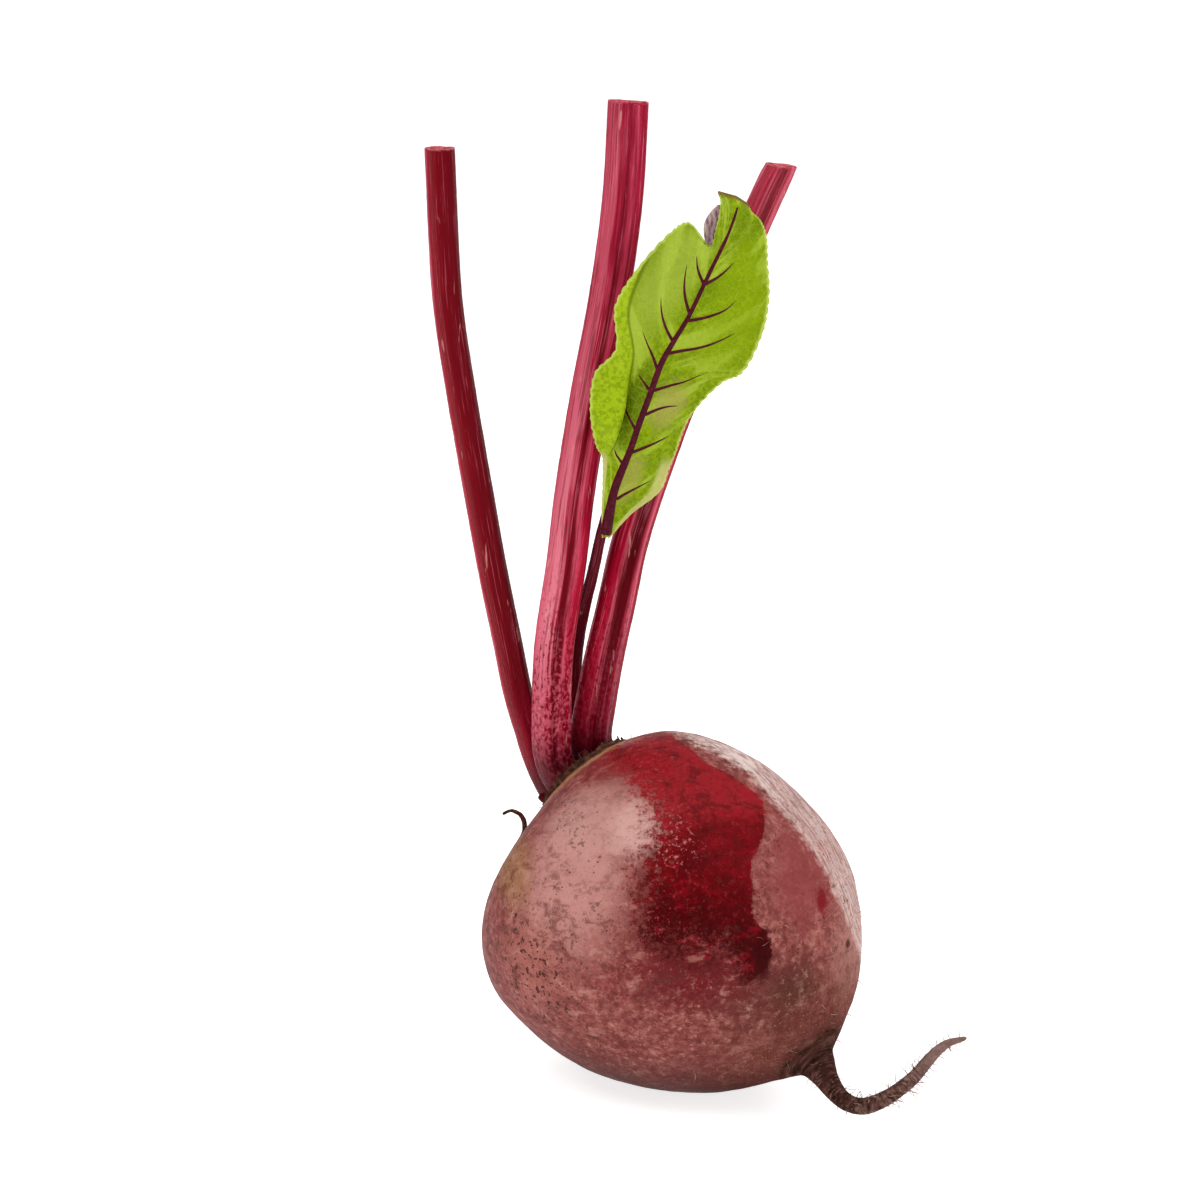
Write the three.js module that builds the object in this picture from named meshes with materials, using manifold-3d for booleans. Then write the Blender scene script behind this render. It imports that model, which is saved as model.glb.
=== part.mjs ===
// A beetroot as picked: the swollen root with its tail, the dry ring of its crown, three cut leaf
// stems and one whole leaf. Millimetres, +Z up, X to the right and Y to the back. The origin is in
// the middle of the small flat spot that the root rests on.

import * as THREE from "three";
import { mergeVertices } from "three/addons/utils/BufferGeometryUtils.js";
import Module from "manifold-3d";

const wasm = await Module();
wasm.setup();

// Between neighbours that touch
const GAP = 0.3;

// What the flat spot is cut with
const FLOOR = [200, 200, 20];

// The swollen root: its axis runs from the crown down to the neck of the tail
const CROWN = new THREE.Vector3(-18.6, 17.4, 56.1);
const NECK = new THREE.Vector3(25.1, -19.1, 9.8);
const AXIS = NECK.clone().sub(CROWN).normalize();
const SIDE = new THREE.Vector3(0.773, 0.143, 0.618);
const FRONT = new THREE.Vector3().crossVectors(AXIS, SIDE);
// Along the axis: distance from the crown, radius, and how far the middle stands off the axis
const ROOT_OUTLINE = [
  [0.4, 4.8, 0.0],
  [1.8, 8.8, 0.0],
  [5.0, 16.6, -0.3],
  [12.0, 27.6, -4.6],
  [22.5, 33.2, -5.5],
  [34.0, 34.0, -4.4],
  [45.5, 31.9, -3.1],
  [56.0, 26.1, -1.9],
  [64.5, 18.1, -1.0],
  [70.5, 8.8, 0.0],
  [73.4, 3.9, 0.0],
];
const ROOT_SIDES = 44;
const ROOT_STEPS = 34;
// Shallow lumps of the flesh, as a share of the radius, with their turn for each millimetre of
// the axis, and the scar rings round the crown
const LUMP = 0.006;
const LUMP_TURN = 0.09;
const SCAR_RING = 0.28;
const SCAR_PITCH = 2.6;
const SCAR_REACH = 11;

// The tail: places along its middle, and its radius at its neck and at its tip
const TAIL_PATH = [
  [25.1, -19.1, 9.8],
  [28.5, -23.8, 5.4],
  [30.8, -26.2, 4.0],
  [33.5, -27.4, 3.7],
  [38.9, -26.8, 5.8],
  [42.9, -25.3, 8.6],
  [47.2, -23.0, 12.8],
  [49.6, -21.7, 14.2],
  [52.6, -20.3, 14.6],
];
const TAIL_STEPS = 22;
const TAIL_NECK_RADIUS = 3.9;
const TAIL_MID_RADIUS = 1.6;
const TAIL_TIP_RADIUS = 0.45;
const TAIL_TAPER = 3;
const TAIL_NECK_FADE = 10;
const TAIL_POINT = 1;

// The dry rootlet on the left shoulder
const ROOTLET_PATH = [
  [-28.3, 6.0, 42.0],
  [-30.5, 6.0, 44.1],
  [-29.4, 6.0, 47.6],
  [-30.1, 6.0, 50.4],
  [-32.0, 6.0, 51.4],
  [-33.7, 6.0, 50.6],
];
const ROOTLET_RADIUS = [0.6, 0.3];
const ROOTLET_SIDES = 8;
const ROOTLET_STEPS = 10;

// Leaf stems: the foot's place on the crown, sideways and to the front, the middle line from there
// to the cut top, half of the width and of the thickness at the foot and at the top, and the way
// that the rounded back faces
const FOOT_DEPTH = 5;
const STEM_LEFT = {
  stand: [-6.8, -1.2],
  path: [
    [-27.1, 18.4, 58.5],
    [-28.8, 18.2, 64.4],
    [-30.5, 17.8, 70.2],
    [-32.8, 17.5, 82.0],
    [-35.6, 17.5, 96.2],
    [-37.6, 17.5, 107.8],
    [-40.0, 17.5, 122.0],
    [-41.6, 17.5, 132.0],
    [-43.7, 17.5, 147.4],
    [-45.0, 17.5, 176.2],
  ],
  foot: [2.9, 2.4],
  top: [3.0, 2.4],
  back: [-0.6, -0.8, 0],
};
const STEM_CENTRE = {
  stand: [-3.6, 5.4],
  path: [
    [-24.2, 12.0, 61.0],
    [-24.3, 12.0, 67.6],
    [-23.9, 13.0, 81.0],
    [-21.4, 15.5, 97.9],
    [-20.1, 17.5, 109.1],
    [-17.1, 20.5, 127.7],
    [-13.5, 23.0, 146.4],
    [-10.9, 25.5, 165.0],
    [-9.8, 27.0, 183.7],
  ],
  foot: [3.7, 3.1],
  top: [3.9, 2.8],
  back: [-0.35, -1, 0],
};
const STEM_RIGHT = {
  stand: [3.4, -1.2],
  path: [
    [-17.1, 17.6, 62.6],
    [-16.3, 17.5, 68.1],
    [-14.6, 18.5, 77.7],
    [-12.0, 20.0, 89.1],
    [-9.5, 21.5, 100.4],
    [-2.3, 24.5, 121.2],
    [3.8, 27.0, 136.1],
    [11.3, 29.0, 154.0],
    [19.0, 31.0, 171.0],
  ],
  foot: [4.6, 3.2],
  top: [3.1, 2.5],
  back: [0.45, -1, 0],
};
const STEM_SIDES = 24;
const STEM_STEPS = 18;
const RIB_COUNT = 6;
const RIB_DEPTH = 0.06;
const CHANNEL_DEPTH = 0.38;
const CHANNEL_WIDTH = 0.42;

// The whole leaf: the stalk, which runs on behind the blade as its midrib
const LEAF_STALK = {
  stand: [0.5, -6.8],
  path: [
    [-19.4, 23.6, 61.0],
    [-20.0, 23.4, 67.6],
    [-20.2, 22.8, 72.5],
    [-19.6, 21.2, 80.0],
    [-18.3, 18.8, 87.5],
    [-16.6, 17.0, 94.9],
    [-14.6, 15.9, 104.4],
    [-12.4, 15.6, 111.6],
    [-9.7, 15.4, 118.4],
    [-5.0, 14.9, 133.0],
    [-1.4, 15.0, 140.4],
    [3.5, 16.0, 149.3],
  ],
  foot: [2.2, 1.7],
  top: [0.6, 0.5],
  back: [0, 1, 0],
};

// The blade, from its foot to its tip: at each station a place on the midrib, on the left margin,
// which turns over near the middle and is torn near the tip, and on the right margin
const BLADE_STATIONS = [
  [[-14.1, 13.6, 102.8], [-14.7, 14.0, 102.5], [-13.5, 14.0, 102.5]],
  [[-13.3, 13.4, 107.6], [-14.8, 14.2, 108.0], [-9.4, 14.2, 107.1]],
  [[-12.4, 13.3, 111.9], [-14.6, 14.2, 113.4], [-3.9, 12.9, 112.0]],
  [[-10.7, 13.2, 116.5], [-14.6, 13.9, 118.1], [-2.4, 12.6, 115.9]],
  [[-9.6, 13.2, 119.2], [-15.8, 12.6, 120.8], [-1.1, 12.8, 119.5]],
  [[-7.7, 13.0, 125.0], [-16.9, 11.6, 127.5], [0.4, 13.4, 123.7]],
  [[-5.8, 12.9, 130.3], [-15.9, 11.8, 134.7], [3.2, 14.6, 127.9]],
  [[-3.8, 12.9, 136.0], [-12.2, 12.8, 138.7], [7.7, 15.6, 132.3]],
  [[-1.4, 13.1, 140.4], [-12.2, 13.0, 147.0], [11.2, 14.4, 134.0]],
  [[1.2, 13.6, 144.6], [-8.3, 14.0, 153.6], [14.9, 13.2, 141.7]],
  [[3.5, 14.1, 149.3], [-1.8, 15.6, 160.4], [16.2, 13.4, 148.8]],
  [[5.5, 14.6, 153.5], [1.4, 16.2, 162.1], [15.9, 14.2, 155.1]],
  [[7.2, 15.1, 156.9], [5.5, 15.4, 157.6], [15.6, 15.2, 159.9]],
  [[8.7, 15.7, 160.0], [6.8, 16.2, 161.6], [14.7, 16.2, 162.3]],
  [[10.6, 18.6, 165.2], [7.4, 19.0, 165.9], [13.0, 18.4, 163.9]],
  [[10.3, 22.0, 166.2], [6.9, 22.3, 167.1], [12.4, 21.6, 164.9]],
];
const BLADE_THICKNESS = 0.8;
const BLADE_STEPS = 36;
const BLADE_ACROSS = 7;
// The valley behind the margin that turns over: its depth, its place and its reach along the blade
const FOLD_DEPTH = 3.0;
const FOLD_PLACE = 0.35;
const FOLD_REACH = 0.1;
// The waves of the blade towards its margins
const WAVE_HEIGHT = 0.7;
const WAVE_COUNT = 6;
const WAVE_LAG = 1.2;
const CALM_FOOT = 4;
const CALM_TIP = 6;

// The dry ring round the crown and the scales that stand on it
const RING_RADIUS = 9.8;
const RING_DEPTH = 2.3;
const RING_THICKNESS = 1.2;
const RING_SIDES = [8, 40];
const SCALE_COUNT = 28;
const SCALE_HEIGHT = [1.0, 2.4];
const SCALE_RADIUS = [0.7, 1.2];
const SCALE_OFFSET = [-1.6, 0.4];
const SCALE_LEAN = [-0.5, 0.3];
const SCALE_TWIST = [-0.5, 0.5];
const SCALE_SIDES = 5;
const SCALE_SEED = 7;

const COLOURS = {
  beet_root: [0x7a3436, 0.55],
  crown_scales: [0x4a3320, 0.9],
  stem_left: [0x7c0a1c, 0.45],
  stem_centre: [0xa81c3e, 0.45],
  stem_right: [0x96142e, 0.45],
  leaf_stalk: [0x5a1224, 0.5],
  leaf_blade: [0x7c9a20, 0.55],
};

const vectors = (rows) => rows.map(([x, y, z]) => new THREE.Vector3(x, y, z));

const mix = THREE.MathUtils.lerp;

const bump = (x, middle, width) => Math.exp(-(((x - middle) / width) ** 2));

// Turns a mesh right way out, by the sign of its volume
function facingOut(geometry) {
  const place = geometry.getAttribute("position");
  const index = geometry.getIndex();
  const [a, b, c] = [new THREE.Vector3(), new THREE.Vector3(), new THREE.Vector3()];
  let volume = 0;
  for (let i = 0; i < index.count; i += 3) {
    a.fromBufferAttribute(place, index.getX(i));
    b.fromBufferAttribute(place, index.getX(i + 1));
    c.fromBufferAttribute(place, index.getX(i + 2));
    volume += a.dot(b.cross(c));
  }
  if (volume < 0) {
    for (let i = 0; i < index.count; i += 3) {
      const second = index.getX(i + 1);
      index.setX(i + 1, index.getX(i + 2));
      index.setX(i + 2, second);
    }
  }
  return geometry;
}

function meshOf(points, triangles) {
  const geometry = new THREE.BufferGeometry().setFromPoints(points);
  geometry.setIndex(triangles);
  return facingOut(geometry);
}

// A closed skin over rings of points, with a pole at each end
function loft(rings, firstPole, lastPole) {
  const sides = rings[0].length;
  const points = [firstPole, ...rings.flat(), lastPole];
  const last = points.length - 1;
  const at = (ring, side) => 1 + ring * sides + (side % sides);
  const triangles = [];
  for (let side = 0; side < sides; side++) {
    triangles.push(0, at(0, side + 1), at(0, side));
    triangles.push(last, at(rings.length - 1, side), at(rings.length - 1, side + 1));
    for (let ring = 0; ring < rings.length - 1; ring++) {
      triangles.push(at(ring, side), at(ring, side + 1), at(ring + 1, side + 1));
      triangles.push(at(ring, side), at(ring + 1, side + 1), at(ring + 1, side));
    }
  }
  return meshOf(points, triangles);
}

function solidOf(geometry) {
  const bare = geometry.clone();
  bare.deleteAttribute("normal");
  bare.deleteAttribute("uv");
  const merged = mergeVertices(bare, 1e-4);
  return new wasm.Manifold(
    new wasm.Mesh({
      numProp: 3,
      vertProperties: new Float32Array(merged.getAttribute("position").array),
      triVerts: new Uint32Array(merged.getIndex().array),
    })
  );
}

function geometryOf(solid) {
  const { vertProperties, triVerts } = solid.getMesh();
  const geometry = new THREE.BufferGeometry();
  geometry.setAttribute("position", new THREE.BufferAttribute(new Float32Array(vertProperties), 3));
  geometry.setIndex(new THREE.BufferAttribute(new Uint32Array(triVerts), 1));
  return geometry;
}

// The largest of the bodies that a cut leaves
function largestOf(solid) {
  const bodies = solid.decompose();
  return bodies.reduce((best, body) => (body.volume() > best.volume() ? body : best));
}

// A ring of points square to a direction; reach(turn) gives [along first, along second]
function ringAt(middle, direction, towards, sides, reach) {
  const first = towards.clone().addScaledVector(direction, -towards.dot(direction)).normalize();
  const second = new THREE.Vector3().crossVectors(direction, first);
  return Array.from({ length: sides }, (_, side) => {
    const turn = (2 * Math.PI * side) / sides;
    const [along, across] = reach(turn);
    return middle.clone().addScaledVector(first, along).addScaledVector(second, across);
  });
}

// The swollen root and its tail, made thicker all over by grow
function rootSkin(grow) {
  const outline = new THREE.CatmullRomCurve3(vectors(ROOT_OUTLINE));
  const rings = [];
  for (let step = 0; step <= ROOT_STEPS; step++) {
    const { x: distance, y: radius, z: shift } = outline.getPoint(step / ROOT_STEPS);
    const middle = CROWN.clone().addScaledVector(AXIS, distance).addScaledVector(SIDE, shift);
    const nearCrown = Math.max(0, 1 - Math.max(0, distance) / SCAR_REACH);
    const scar = SCAR_RING * nearCrown * Math.sin((2 * Math.PI * radius) / SCAR_PITCH);
    const round = (turn) => {
      const lump = Math.sin(2 * turn) + Math.sin(3 * turn + LUMP_TURN * distance);
      const size = radius * (1 + LUMP * lump) + scar + grow;
      return [size * Math.cos(turn), size * Math.sin(turn)];
    };
    rings.push(ringAt(middle, AXIS, SIDE, ROOT_SIDES, round));
  }
  const tail = new THREE.CatmullRomCurve3(vectors(TAIL_PATH), false, "centripetal");
  for (let step = 1; step <= TAIL_STEPS; step++) {
    const along = step / TAIL_STEPS;
    const thin = mix(TAIL_MID_RADIUS, TAIL_TIP_RADIUS, along ** TAIL_TAPER);
    const flare = (TAIL_NECK_RADIUS - TAIL_MID_RADIUS) * Math.exp(-along * TAIL_NECK_FADE);
    const radius = thin + flare + grow;
    const round = (turn) => [radius * Math.cos(turn), radius * Math.sin(turn)];
    rings.push(ringAt(tail.getPointAt(along), tail.getTangentAt(along), SIDE, ROOT_SIDES, round));
  }
  const top = CROWN.clone().addScaledVector(AXIS, -grow);
  return loft(rings, top, tail.getPointAt(1).addScaledVector(tail.getTangentAt(1), TAIL_POINT));
}

// The rootlet, round and tapered along its path
function rootletSkin() {
  const path = new THREE.CatmullRomCurve3(vectors(ROOTLET_PATH), false, "centripetal");
  const rings = [];
  for (let step = 0; step <= ROOTLET_STEPS; step++) {
    const along = step / ROOTLET_STEPS;
    const size = mix(...ROOTLET_RADIUS, along);
    const round = (turn) => [size * Math.cos(turn), size * Math.sin(turn)];
    const direction = path.getTangentAt(along);
    rings.push(ringAt(path.getPointAt(along), direction, SIDE, ROOTLET_SIDES, round));
  }
  return loft(rings, path.getPointAt(0), path.getPointAt(1));
}

// A leaf stem: a rounded, ribbed back and a shallow channel along its inner side
function stemSkin({ stand, path: rows, foot, top, back }, grow) {
  const sunk = (depth) =>
    CROWN.clone()
      .addScaledVector(AXIS, depth)
      .addScaledVector(SIDE, stand[0])
      .addScaledVector(FRONT, stand[1]);
  const middle = [sunk(FOOT_DEPTH), sunk(0), ...vectors(rows)];
  const path = new THREE.CatmullRomCurve3(middle, false, "centripetal");
  const away = new THREE.Vector3(...back);
  const rings = [];
  for (let step = 0; step <= STEM_STEPS; step++) {
    const along = step / STEM_STEPS;
    const slimmed = Math.sqrt(along);
    const halfWidth = mix(foot[0], top[0], slimmed) + grow;
    const halfDepth = mix(foot[1], top[1], slimmed) + grow;
    const section = (turn) => {
      const out = Math.cos(turn);
      const across = Math.sin(turn);
      const rib = 1 + RIB_DEPTH * Math.cos(RIB_COUNT * turn);
      const channel = out < 0 ? 1 - CHANNEL_DEPTH * bump(across, 0, CHANNEL_WIDTH) : 1;
      return [halfDepth * out * rib * channel, halfWidth * across * rib];
    };
    rings.push(ringAt(path.getPointAt(along), path.getTangentAt(along), away, STEM_SIDES, section));
  }
  return loft(rings, path.getPointAt(0), path.getPointAt(1));
}

// The middle sheet of the blade, from its foot to its tip and from its left margin to its right
function bladeSheet() {
  const curve = (column) =>
    new THREE.CatmullRomCurve3(vectors(BLADE_STATIONS.map((row) => row[column])), false, "centripetal");
  const [midrib, left, right] = [curve(0), curve(1), curve(2)];
  const sheet = [];
  for (let step = 0; step <= BLADE_STEPS; step++) {
    const along = step / BLADE_STEPS;
    const middle = midrib.getPoint(along);
    const fold = FOLD_DEPTH * bump(along, FOLD_PLACE, FOLD_REACH);
    const row = [];
    for (let column = -BLADE_ACROSS; column <= BLADE_ACROSS; column++) {
      const share = Math.abs(column) / BLADE_ACROSS;
      const margin = (column < 0 ? left : right).getPoint(along);
      const place = middle.clone().lerp(margin, share);
      const wave = Math.sin(2 * Math.PI * WAVE_COUNT * along + (column < 0 ? WAVE_LAG : 0));
      const calm = Math.min(1, CALM_FOOT * along, CALM_TIP * (1 - along));
      place.y += WAVE_HEIGHT * wave * share ** 2 * calm;
      if (column < 0) place.y += fold * Math.sin(Math.PI * share) ** 2;
      row.push(place);
    }
    sheet.push(row);
  }
  return sheet;
}

// The sheet given a thickness, with both faces split alike
function bladeSkin(thickness) {
  const sheet = bladeSheet();
  const rows = sheet.length;
  const columns = sheet[0].length;
  const near = (row, column) =>
    sheet[THREE.MathUtils.clamp(row, 0, rows - 1)][THREE.MathUtils.clamp(column, 0, columns - 1)];
  const faces = [[], []];
  for (let row = 0; row < rows; row++) {
    for (let column = 0; column < columns; column++) {
      const along = near(row + 1, column).clone().sub(near(row - 1, column));
      const across = near(row, column + 1).clone().sub(near(row, column - 1));
      const normal = along.cross(across).normalize();
      faces[0].push(sheet[row][column].clone().addScaledVector(normal, thickness / 2));
      faces[1].push(sheet[row][column].clone().addScaledVector(normal, -thickness / 2));
    }
  }
  const count = rows * columns;
  const at = (row, column) => row * columns + column;
  const triangles = [];
  for (let row = 0; row < rows - 1; row++) {
    for (let column = 0; column < columns - 1; column++) {
      const [a, b] = [at(row, column), at(row, column + 1)];
      const [c, d] = [at(row + 1, column + 1), at(row + 1, column)];
      triangles.push(a, b, c, a, c, d);
      triangles.push(count + a, count + c, count + b, count + a, count + d, count + c);
    }
  }
  const rim = [];
  for (let column = 0; column < columns - 1; column++) rim.push(at(0, column));
  for (let row = 0; row < rows - 1; row++) rim.push(at(row, columns - 1));
  for (let column = columns - 1; column > 0; column--) rim.push(at(rows - 1, column));
  for (let row = rows - 1; row > 0; row--) rim.push(at(row, 0));
  rim.forEach((a, i) => {
    const b = rim[(i + 1) % rim.length];
    triangles.push(a, count + a, count + b, a, count + b, b);
  });
  return meshOf([...faces[0], ...faces[1]], triangles);
}

// A repeatable draw of numbers between 0 and 1
function drawFrom(seed) {
  let state = seed;
  return () => {
    state = (state * 16807) % 2147483647;
    return state / 2147483647;
  };
}

// The dry ring round the crown, with its scales fused on
function crownScales() {
  const draw = drawFrom(SCALE_SEED);
  const outwards = AXIS.clone().negate();
  const across = new THREE.Vector3().crossVectors(outwards, SIDE);
  const crownFrame = new THREE.Matrix4().makeBasis(SIDE, across, outwards);
  const middle = CROWN.clone().addScaledVector(AXIS, RING_DEPTH);
  crownFrame.setPosition(middle);
  const ring = new THREE.TorusGeometry(RING_RADIUS, RING_THICKNESS, ...RING_SIDES);
  let scales = solidOf(ring.applyMatrix4(crownFrame));
  for (let i = 0; i < SCALE_COUNT; i++) {
    const turn = (2 * Math.PI * (i + draw())) / SCALE_COUNT;
    const height = mix(...SCALE_HEIGHT, draw());
    const stand = RING_RADIUS + mix(...SCALE_OFFSET, draw());
    const scale = new THREE.ConeGeometry(mix(...SCALE_RADIUS, draw()), 2 * height, SCALE_SIDES);
    scale.rotateX(Math.PI / 2 + mix(...SCALE_LEAN, draw()));
    scale.rotateZ(turn - Math.PI / 2 + mix(...SCALE_TWIST, draw()));
    scale.translate(stand * Math.cos(turn), stand * Math.sin(turn), height / 2);
    scales = scales.add(solidOf(scale.applyMatrix4(crownFrame)));
  }
  return scales;
}

const stems = {
  stem_left: STEM_LEFT,
  stem_centre: STEM_CENTRE,
  stem_right: STEM_RIGHT,
  leaf_stalk: LEAF_STALK,
};

const floor = solidOf(new THREE.BoxGeometry(...FLOOR).translate(0, 0, -FLOOR[2] / 2));
const root = solidOf(rootSkin(0))
  .add(solidOf(rootletSkin()))
  .subtract(floor);
const rootRoom = solidOf(rootSkin(GAP));

const geometries = { beet_root: geometryOf(root) };
let scales = crownScales().subtract(rootRoom);
for (const [name, stem] of Object.entries(stems)) {
  geometries[name] = geometryOf(largestOf(solidOf(stemSkin(stem, 0)).subtract(rootRoom)));
  scales = scales.subtract(solidOf(stemSkin(stem, GAP)));
}
geometries.crown_scales = geometryOf(largestOf(scales));
geometries.leaf_blade = bladeSkin(BLADE_THICKNESS);

const beetroot = new THREE.Group();
for (const [name, geometry] of Object.entries(geometries)) {
  const [color, roughness] = COLOURS[name];
  const mesh = new THREE.Mesh(geometry, new THREE.MeshStandardMaterial({ color, roughness, metalness: 0 }));
  mesh.name = name;
  beetroot.add(mesh);
}

export default beetroot;
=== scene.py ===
# A beetroot as picked: the swollen root with its tail, the dry ring of its crown, three cut leaf
# stems and one whole leaf. Metres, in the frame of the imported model.

import math
import random

import bpy
from mathutils import Matrix, Vector


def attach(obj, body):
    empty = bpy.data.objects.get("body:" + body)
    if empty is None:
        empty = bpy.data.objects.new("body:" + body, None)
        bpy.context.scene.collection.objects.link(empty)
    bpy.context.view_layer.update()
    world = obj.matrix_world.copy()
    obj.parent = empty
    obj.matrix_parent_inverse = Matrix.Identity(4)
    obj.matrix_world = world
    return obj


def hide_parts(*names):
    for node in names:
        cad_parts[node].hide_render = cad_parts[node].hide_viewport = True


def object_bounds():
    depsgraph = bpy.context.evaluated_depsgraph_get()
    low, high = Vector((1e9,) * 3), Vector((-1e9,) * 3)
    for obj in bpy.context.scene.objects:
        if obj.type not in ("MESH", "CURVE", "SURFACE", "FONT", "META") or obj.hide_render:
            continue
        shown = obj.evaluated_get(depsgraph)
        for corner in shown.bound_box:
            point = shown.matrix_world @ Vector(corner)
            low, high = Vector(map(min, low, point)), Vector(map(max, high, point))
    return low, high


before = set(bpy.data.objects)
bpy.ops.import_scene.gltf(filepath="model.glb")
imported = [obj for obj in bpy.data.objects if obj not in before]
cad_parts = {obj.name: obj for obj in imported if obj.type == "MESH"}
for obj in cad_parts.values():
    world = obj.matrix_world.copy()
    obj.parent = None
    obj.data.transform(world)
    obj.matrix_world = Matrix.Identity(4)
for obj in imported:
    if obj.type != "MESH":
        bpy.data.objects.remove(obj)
cad_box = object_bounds()

MM = 0.001

# The camera looks down a little, from far away through a long lens
CAMERA_PLACE = Vector((-15.2, -974.37, 318.65)) * MM
CAMERA_TILT = math.radians(77)
CAMERA_LENS = 160.86
CAMERA_SENSOR = 36
CAMERA_REACH = 20

# The swollen root, in millimetres: its axis runs from the crown down to the neck of the tail
CROWN = Vector((-18.6, 17.4, 56.1))
NECK = Vector((25.1, -19.1, 9.8))
AXIS = (NECK - CROWN).normalized()
SIDE = Vector((0.773, 0.143, 0.618))
FRONT = AXIS.cross(SIDE)
# Along the axis: distance from the crown, radius, and how far the middle stands off the axis
ROOT_OUTLINE = [
    (0.4, 4.8, 0.0),
    (1.8, 8.8, 0.0),
    (5.0, 16.6, -0.3),
    (12.0, 27.6, -4.6),
    (22.5, 33.2, -5.5),
    (34.0, 34.0, -4.4),
    (45.5, 31.9, -3.1),
    (56.0, 26.1, -1.9),
    (64.5, 18.1, -1.0),
    (70.5, 8.8, 0.0),
    (73.4, 3.9, 0.0),
]
ROOT_SIDES = 64
ROOT_STEPS = 44
# The flat top of the crown, as distance and radius, and rings of old leaf scars round it
CROWN_CAP = [(0.1, 1.2), (0.25, 3.0)]
SCAR_RING = 0.28
SCAR_PITCH = 2.6
SCAR_REACH = 11

# The tail: places along its middle, and its radius from its neck to its tip
TAIL_PATH = [
    (25.1, -19.1, 9.8),
    (28.5, -23.8, 5.4),
    (30.8, -26.2, 4.0),
    (33.5, -27.4, 3.7),
    (38.9, -26.8, 5.8),
    (42.9, -25.3, 8.6),
    (47.2, -23.0, 12.8),
    (49.6, -21.7, 14.2),
    (52.6, -20.3, 14.6),
]
TAIL_STEPS = 40
TAIL_NECK_RADIUS = 3.9
TAIL_MID_RADIUS = 1.6
TAIL_TIP_RADIUS = 0.45
TAIL_TAPER = 3
TAIL_NECK_FADE = 10
TAIL_POINT = 0.5
TAIL_POINT_RADIUS = 0.25

ROOTLET_PATH = [
    (-28.3, 6.0, 42.0),
    (-30.5, 6.0, 44.1),
    (-29.4, 6.0, 47.6),
    (-30.1, 6.0, 50.4),
    (-32.0, 6.0, 51.4),
    (-33.7, 6.0, 50.6),
]
ROOTLET_RADIUS = (0.85, 0.3)
ROOTLET_STEPS = 24

# Root hairs on the tail and on the underside of the swell, and the height that they start at
TAIL_HAIRS = 190
SKIN_HAIRS = 90
SKIN_HAIR_REACH = (54, 72)
SKIN_HAIR_HEIGHT = 7
GROUND_CLEARANCE = 3.0

# Leaf stems: the foot's place on the crown, sideways and to the front, the middle line from there
# to the cut top, half of the thickness and of the width at the foot and at the top, and the way
# that the rounded back faces
FOOT_DEPTH = 5
STEM_LEFT = {
    "stand": (-6.8, -1.2),
    "path": [
        (-27.1, 18.4, 58.5),
        (-28.8, 18.2, 64.4),
        (-30.5, 17.8, 70.2),
        (-32.8, 17.5, 82.0),
        (-35.6, 17.5, 96.2),
        (-37.6, 17.5, 107.8),
        (-40.0, 17.5, 122.0),
        (-41.6, 17.5, 132.0),
        (-43.7, 17.5, 147.4),
        (-45.0, 17.5, 176.2),
    ],
    "foot": (2.4, 2.9),
    "top": (2.4, 3.0),
    "back": (-0.6, -0.8, 0),
}
STEM_CENTRE = {
    "stand": (-3.6, 5.4),
    "path": [
        (-24.2, 12.0, 61.0),
        (-24.3, 12.0, 67.6),
        (-23.9, 13.0, 81.0),
        (-21.4, 15.5, 97.9),
        (-20.1, 17.5, 109.1),
        (-17.1, 20.5, 127.7),
        (-13.5, 23.0, 146.4),
        (-10.9, 25.5, 165.0),
        (-9.8, 27.0, 183.7),
    ],
    "foot": (3.1, 3.7),
    "top": (2.8, 3.9),
    "back": (-0.35, -1, 0),
}
STEM_RIGHT = {
    "stand": (3.4, -1.2),
    "path": [
        (-17.1, 17.6, 62.6),
        (-16.3, 17.5, 68.1),
        (-14.6, 18.5, 77.7),
        (-12.0, 20.0, 89.1),
        (-9.5, 21.5, 100.4),
        (-2.3, 24.5, 121.2),
        (3.8, 27.0, 136.1),
        (11.3, 29.0, 154.0),
        (19.0, 31.0, 171.0),
    ],
    "foot": (3.2, 4.6),
    "top": (2.5, 3.1),
    "back": (0.45, -1, 0),
    "cut": (0.15, 0, 0.99),
}
LEAF_STALK = {
    "stand": (0.5, -6.8),
    "path": [
        (-19.4, 23.6, 61.0),
        (-20.0, 23.4, 67.6),
        (-20.2, 22.8, 72.5),
        (-19.6, 21.2, 80.0),
        (-18.3, 18.8, 87.5),
        (-16.6, 17.0, 94.9),
        (-14.6, 15.9, 104.4),
        (-12.4, 15.6, 111.6),
        (-9.7, 15.4, 118.4),
        (-5.0, 14.9, 133.0),
        (-1.4, 15.0, 140.4),
        (3.5, 16.0, 149.3),
    ],
    "foot": (1.7, 2.2),
    "top": (0.5, 0.6),
    "back": (0, 1, 0),
}
STEM_SIDES = 48
STEM_STEPS = 44
# The channel along the inner side of a stem
CHANNEL_DEPTH = 0.38
CHANNEL_WIDTH = 0.42
# Ridges, and furrows below zero, along each stem: the turn from the middle of its back in
# degrees, the height as a share of the radius, and half of the width in degrees
RIDGES = {
    "left": [(-62, 0.07, 13), (-20, -0.05, 14), (14, 0.06, 12), (48, -0.06, 14), (78, 0.06, 12)],
    "centre": [(-66, 0.06, 12), (12, 0.10, 9), (26, -0.16, 9), (44, 0.07, 9), (80, 0.05, 12)],
    "right": [
        (-84, 0.06, 12), (-52, 0.03, 10), (-22, 0.08, 8), (-4, -0.24, 10), (20, 0.10, 10),
        (60, 0.05, 12),
    ],
    "stalk": [(-40, 0.06, 14), (40, 0.06, 14)],
}
CUT_EDGE = 0.25
CUT_RIM = 0.3
CUT_SINK = 0.25

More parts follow.
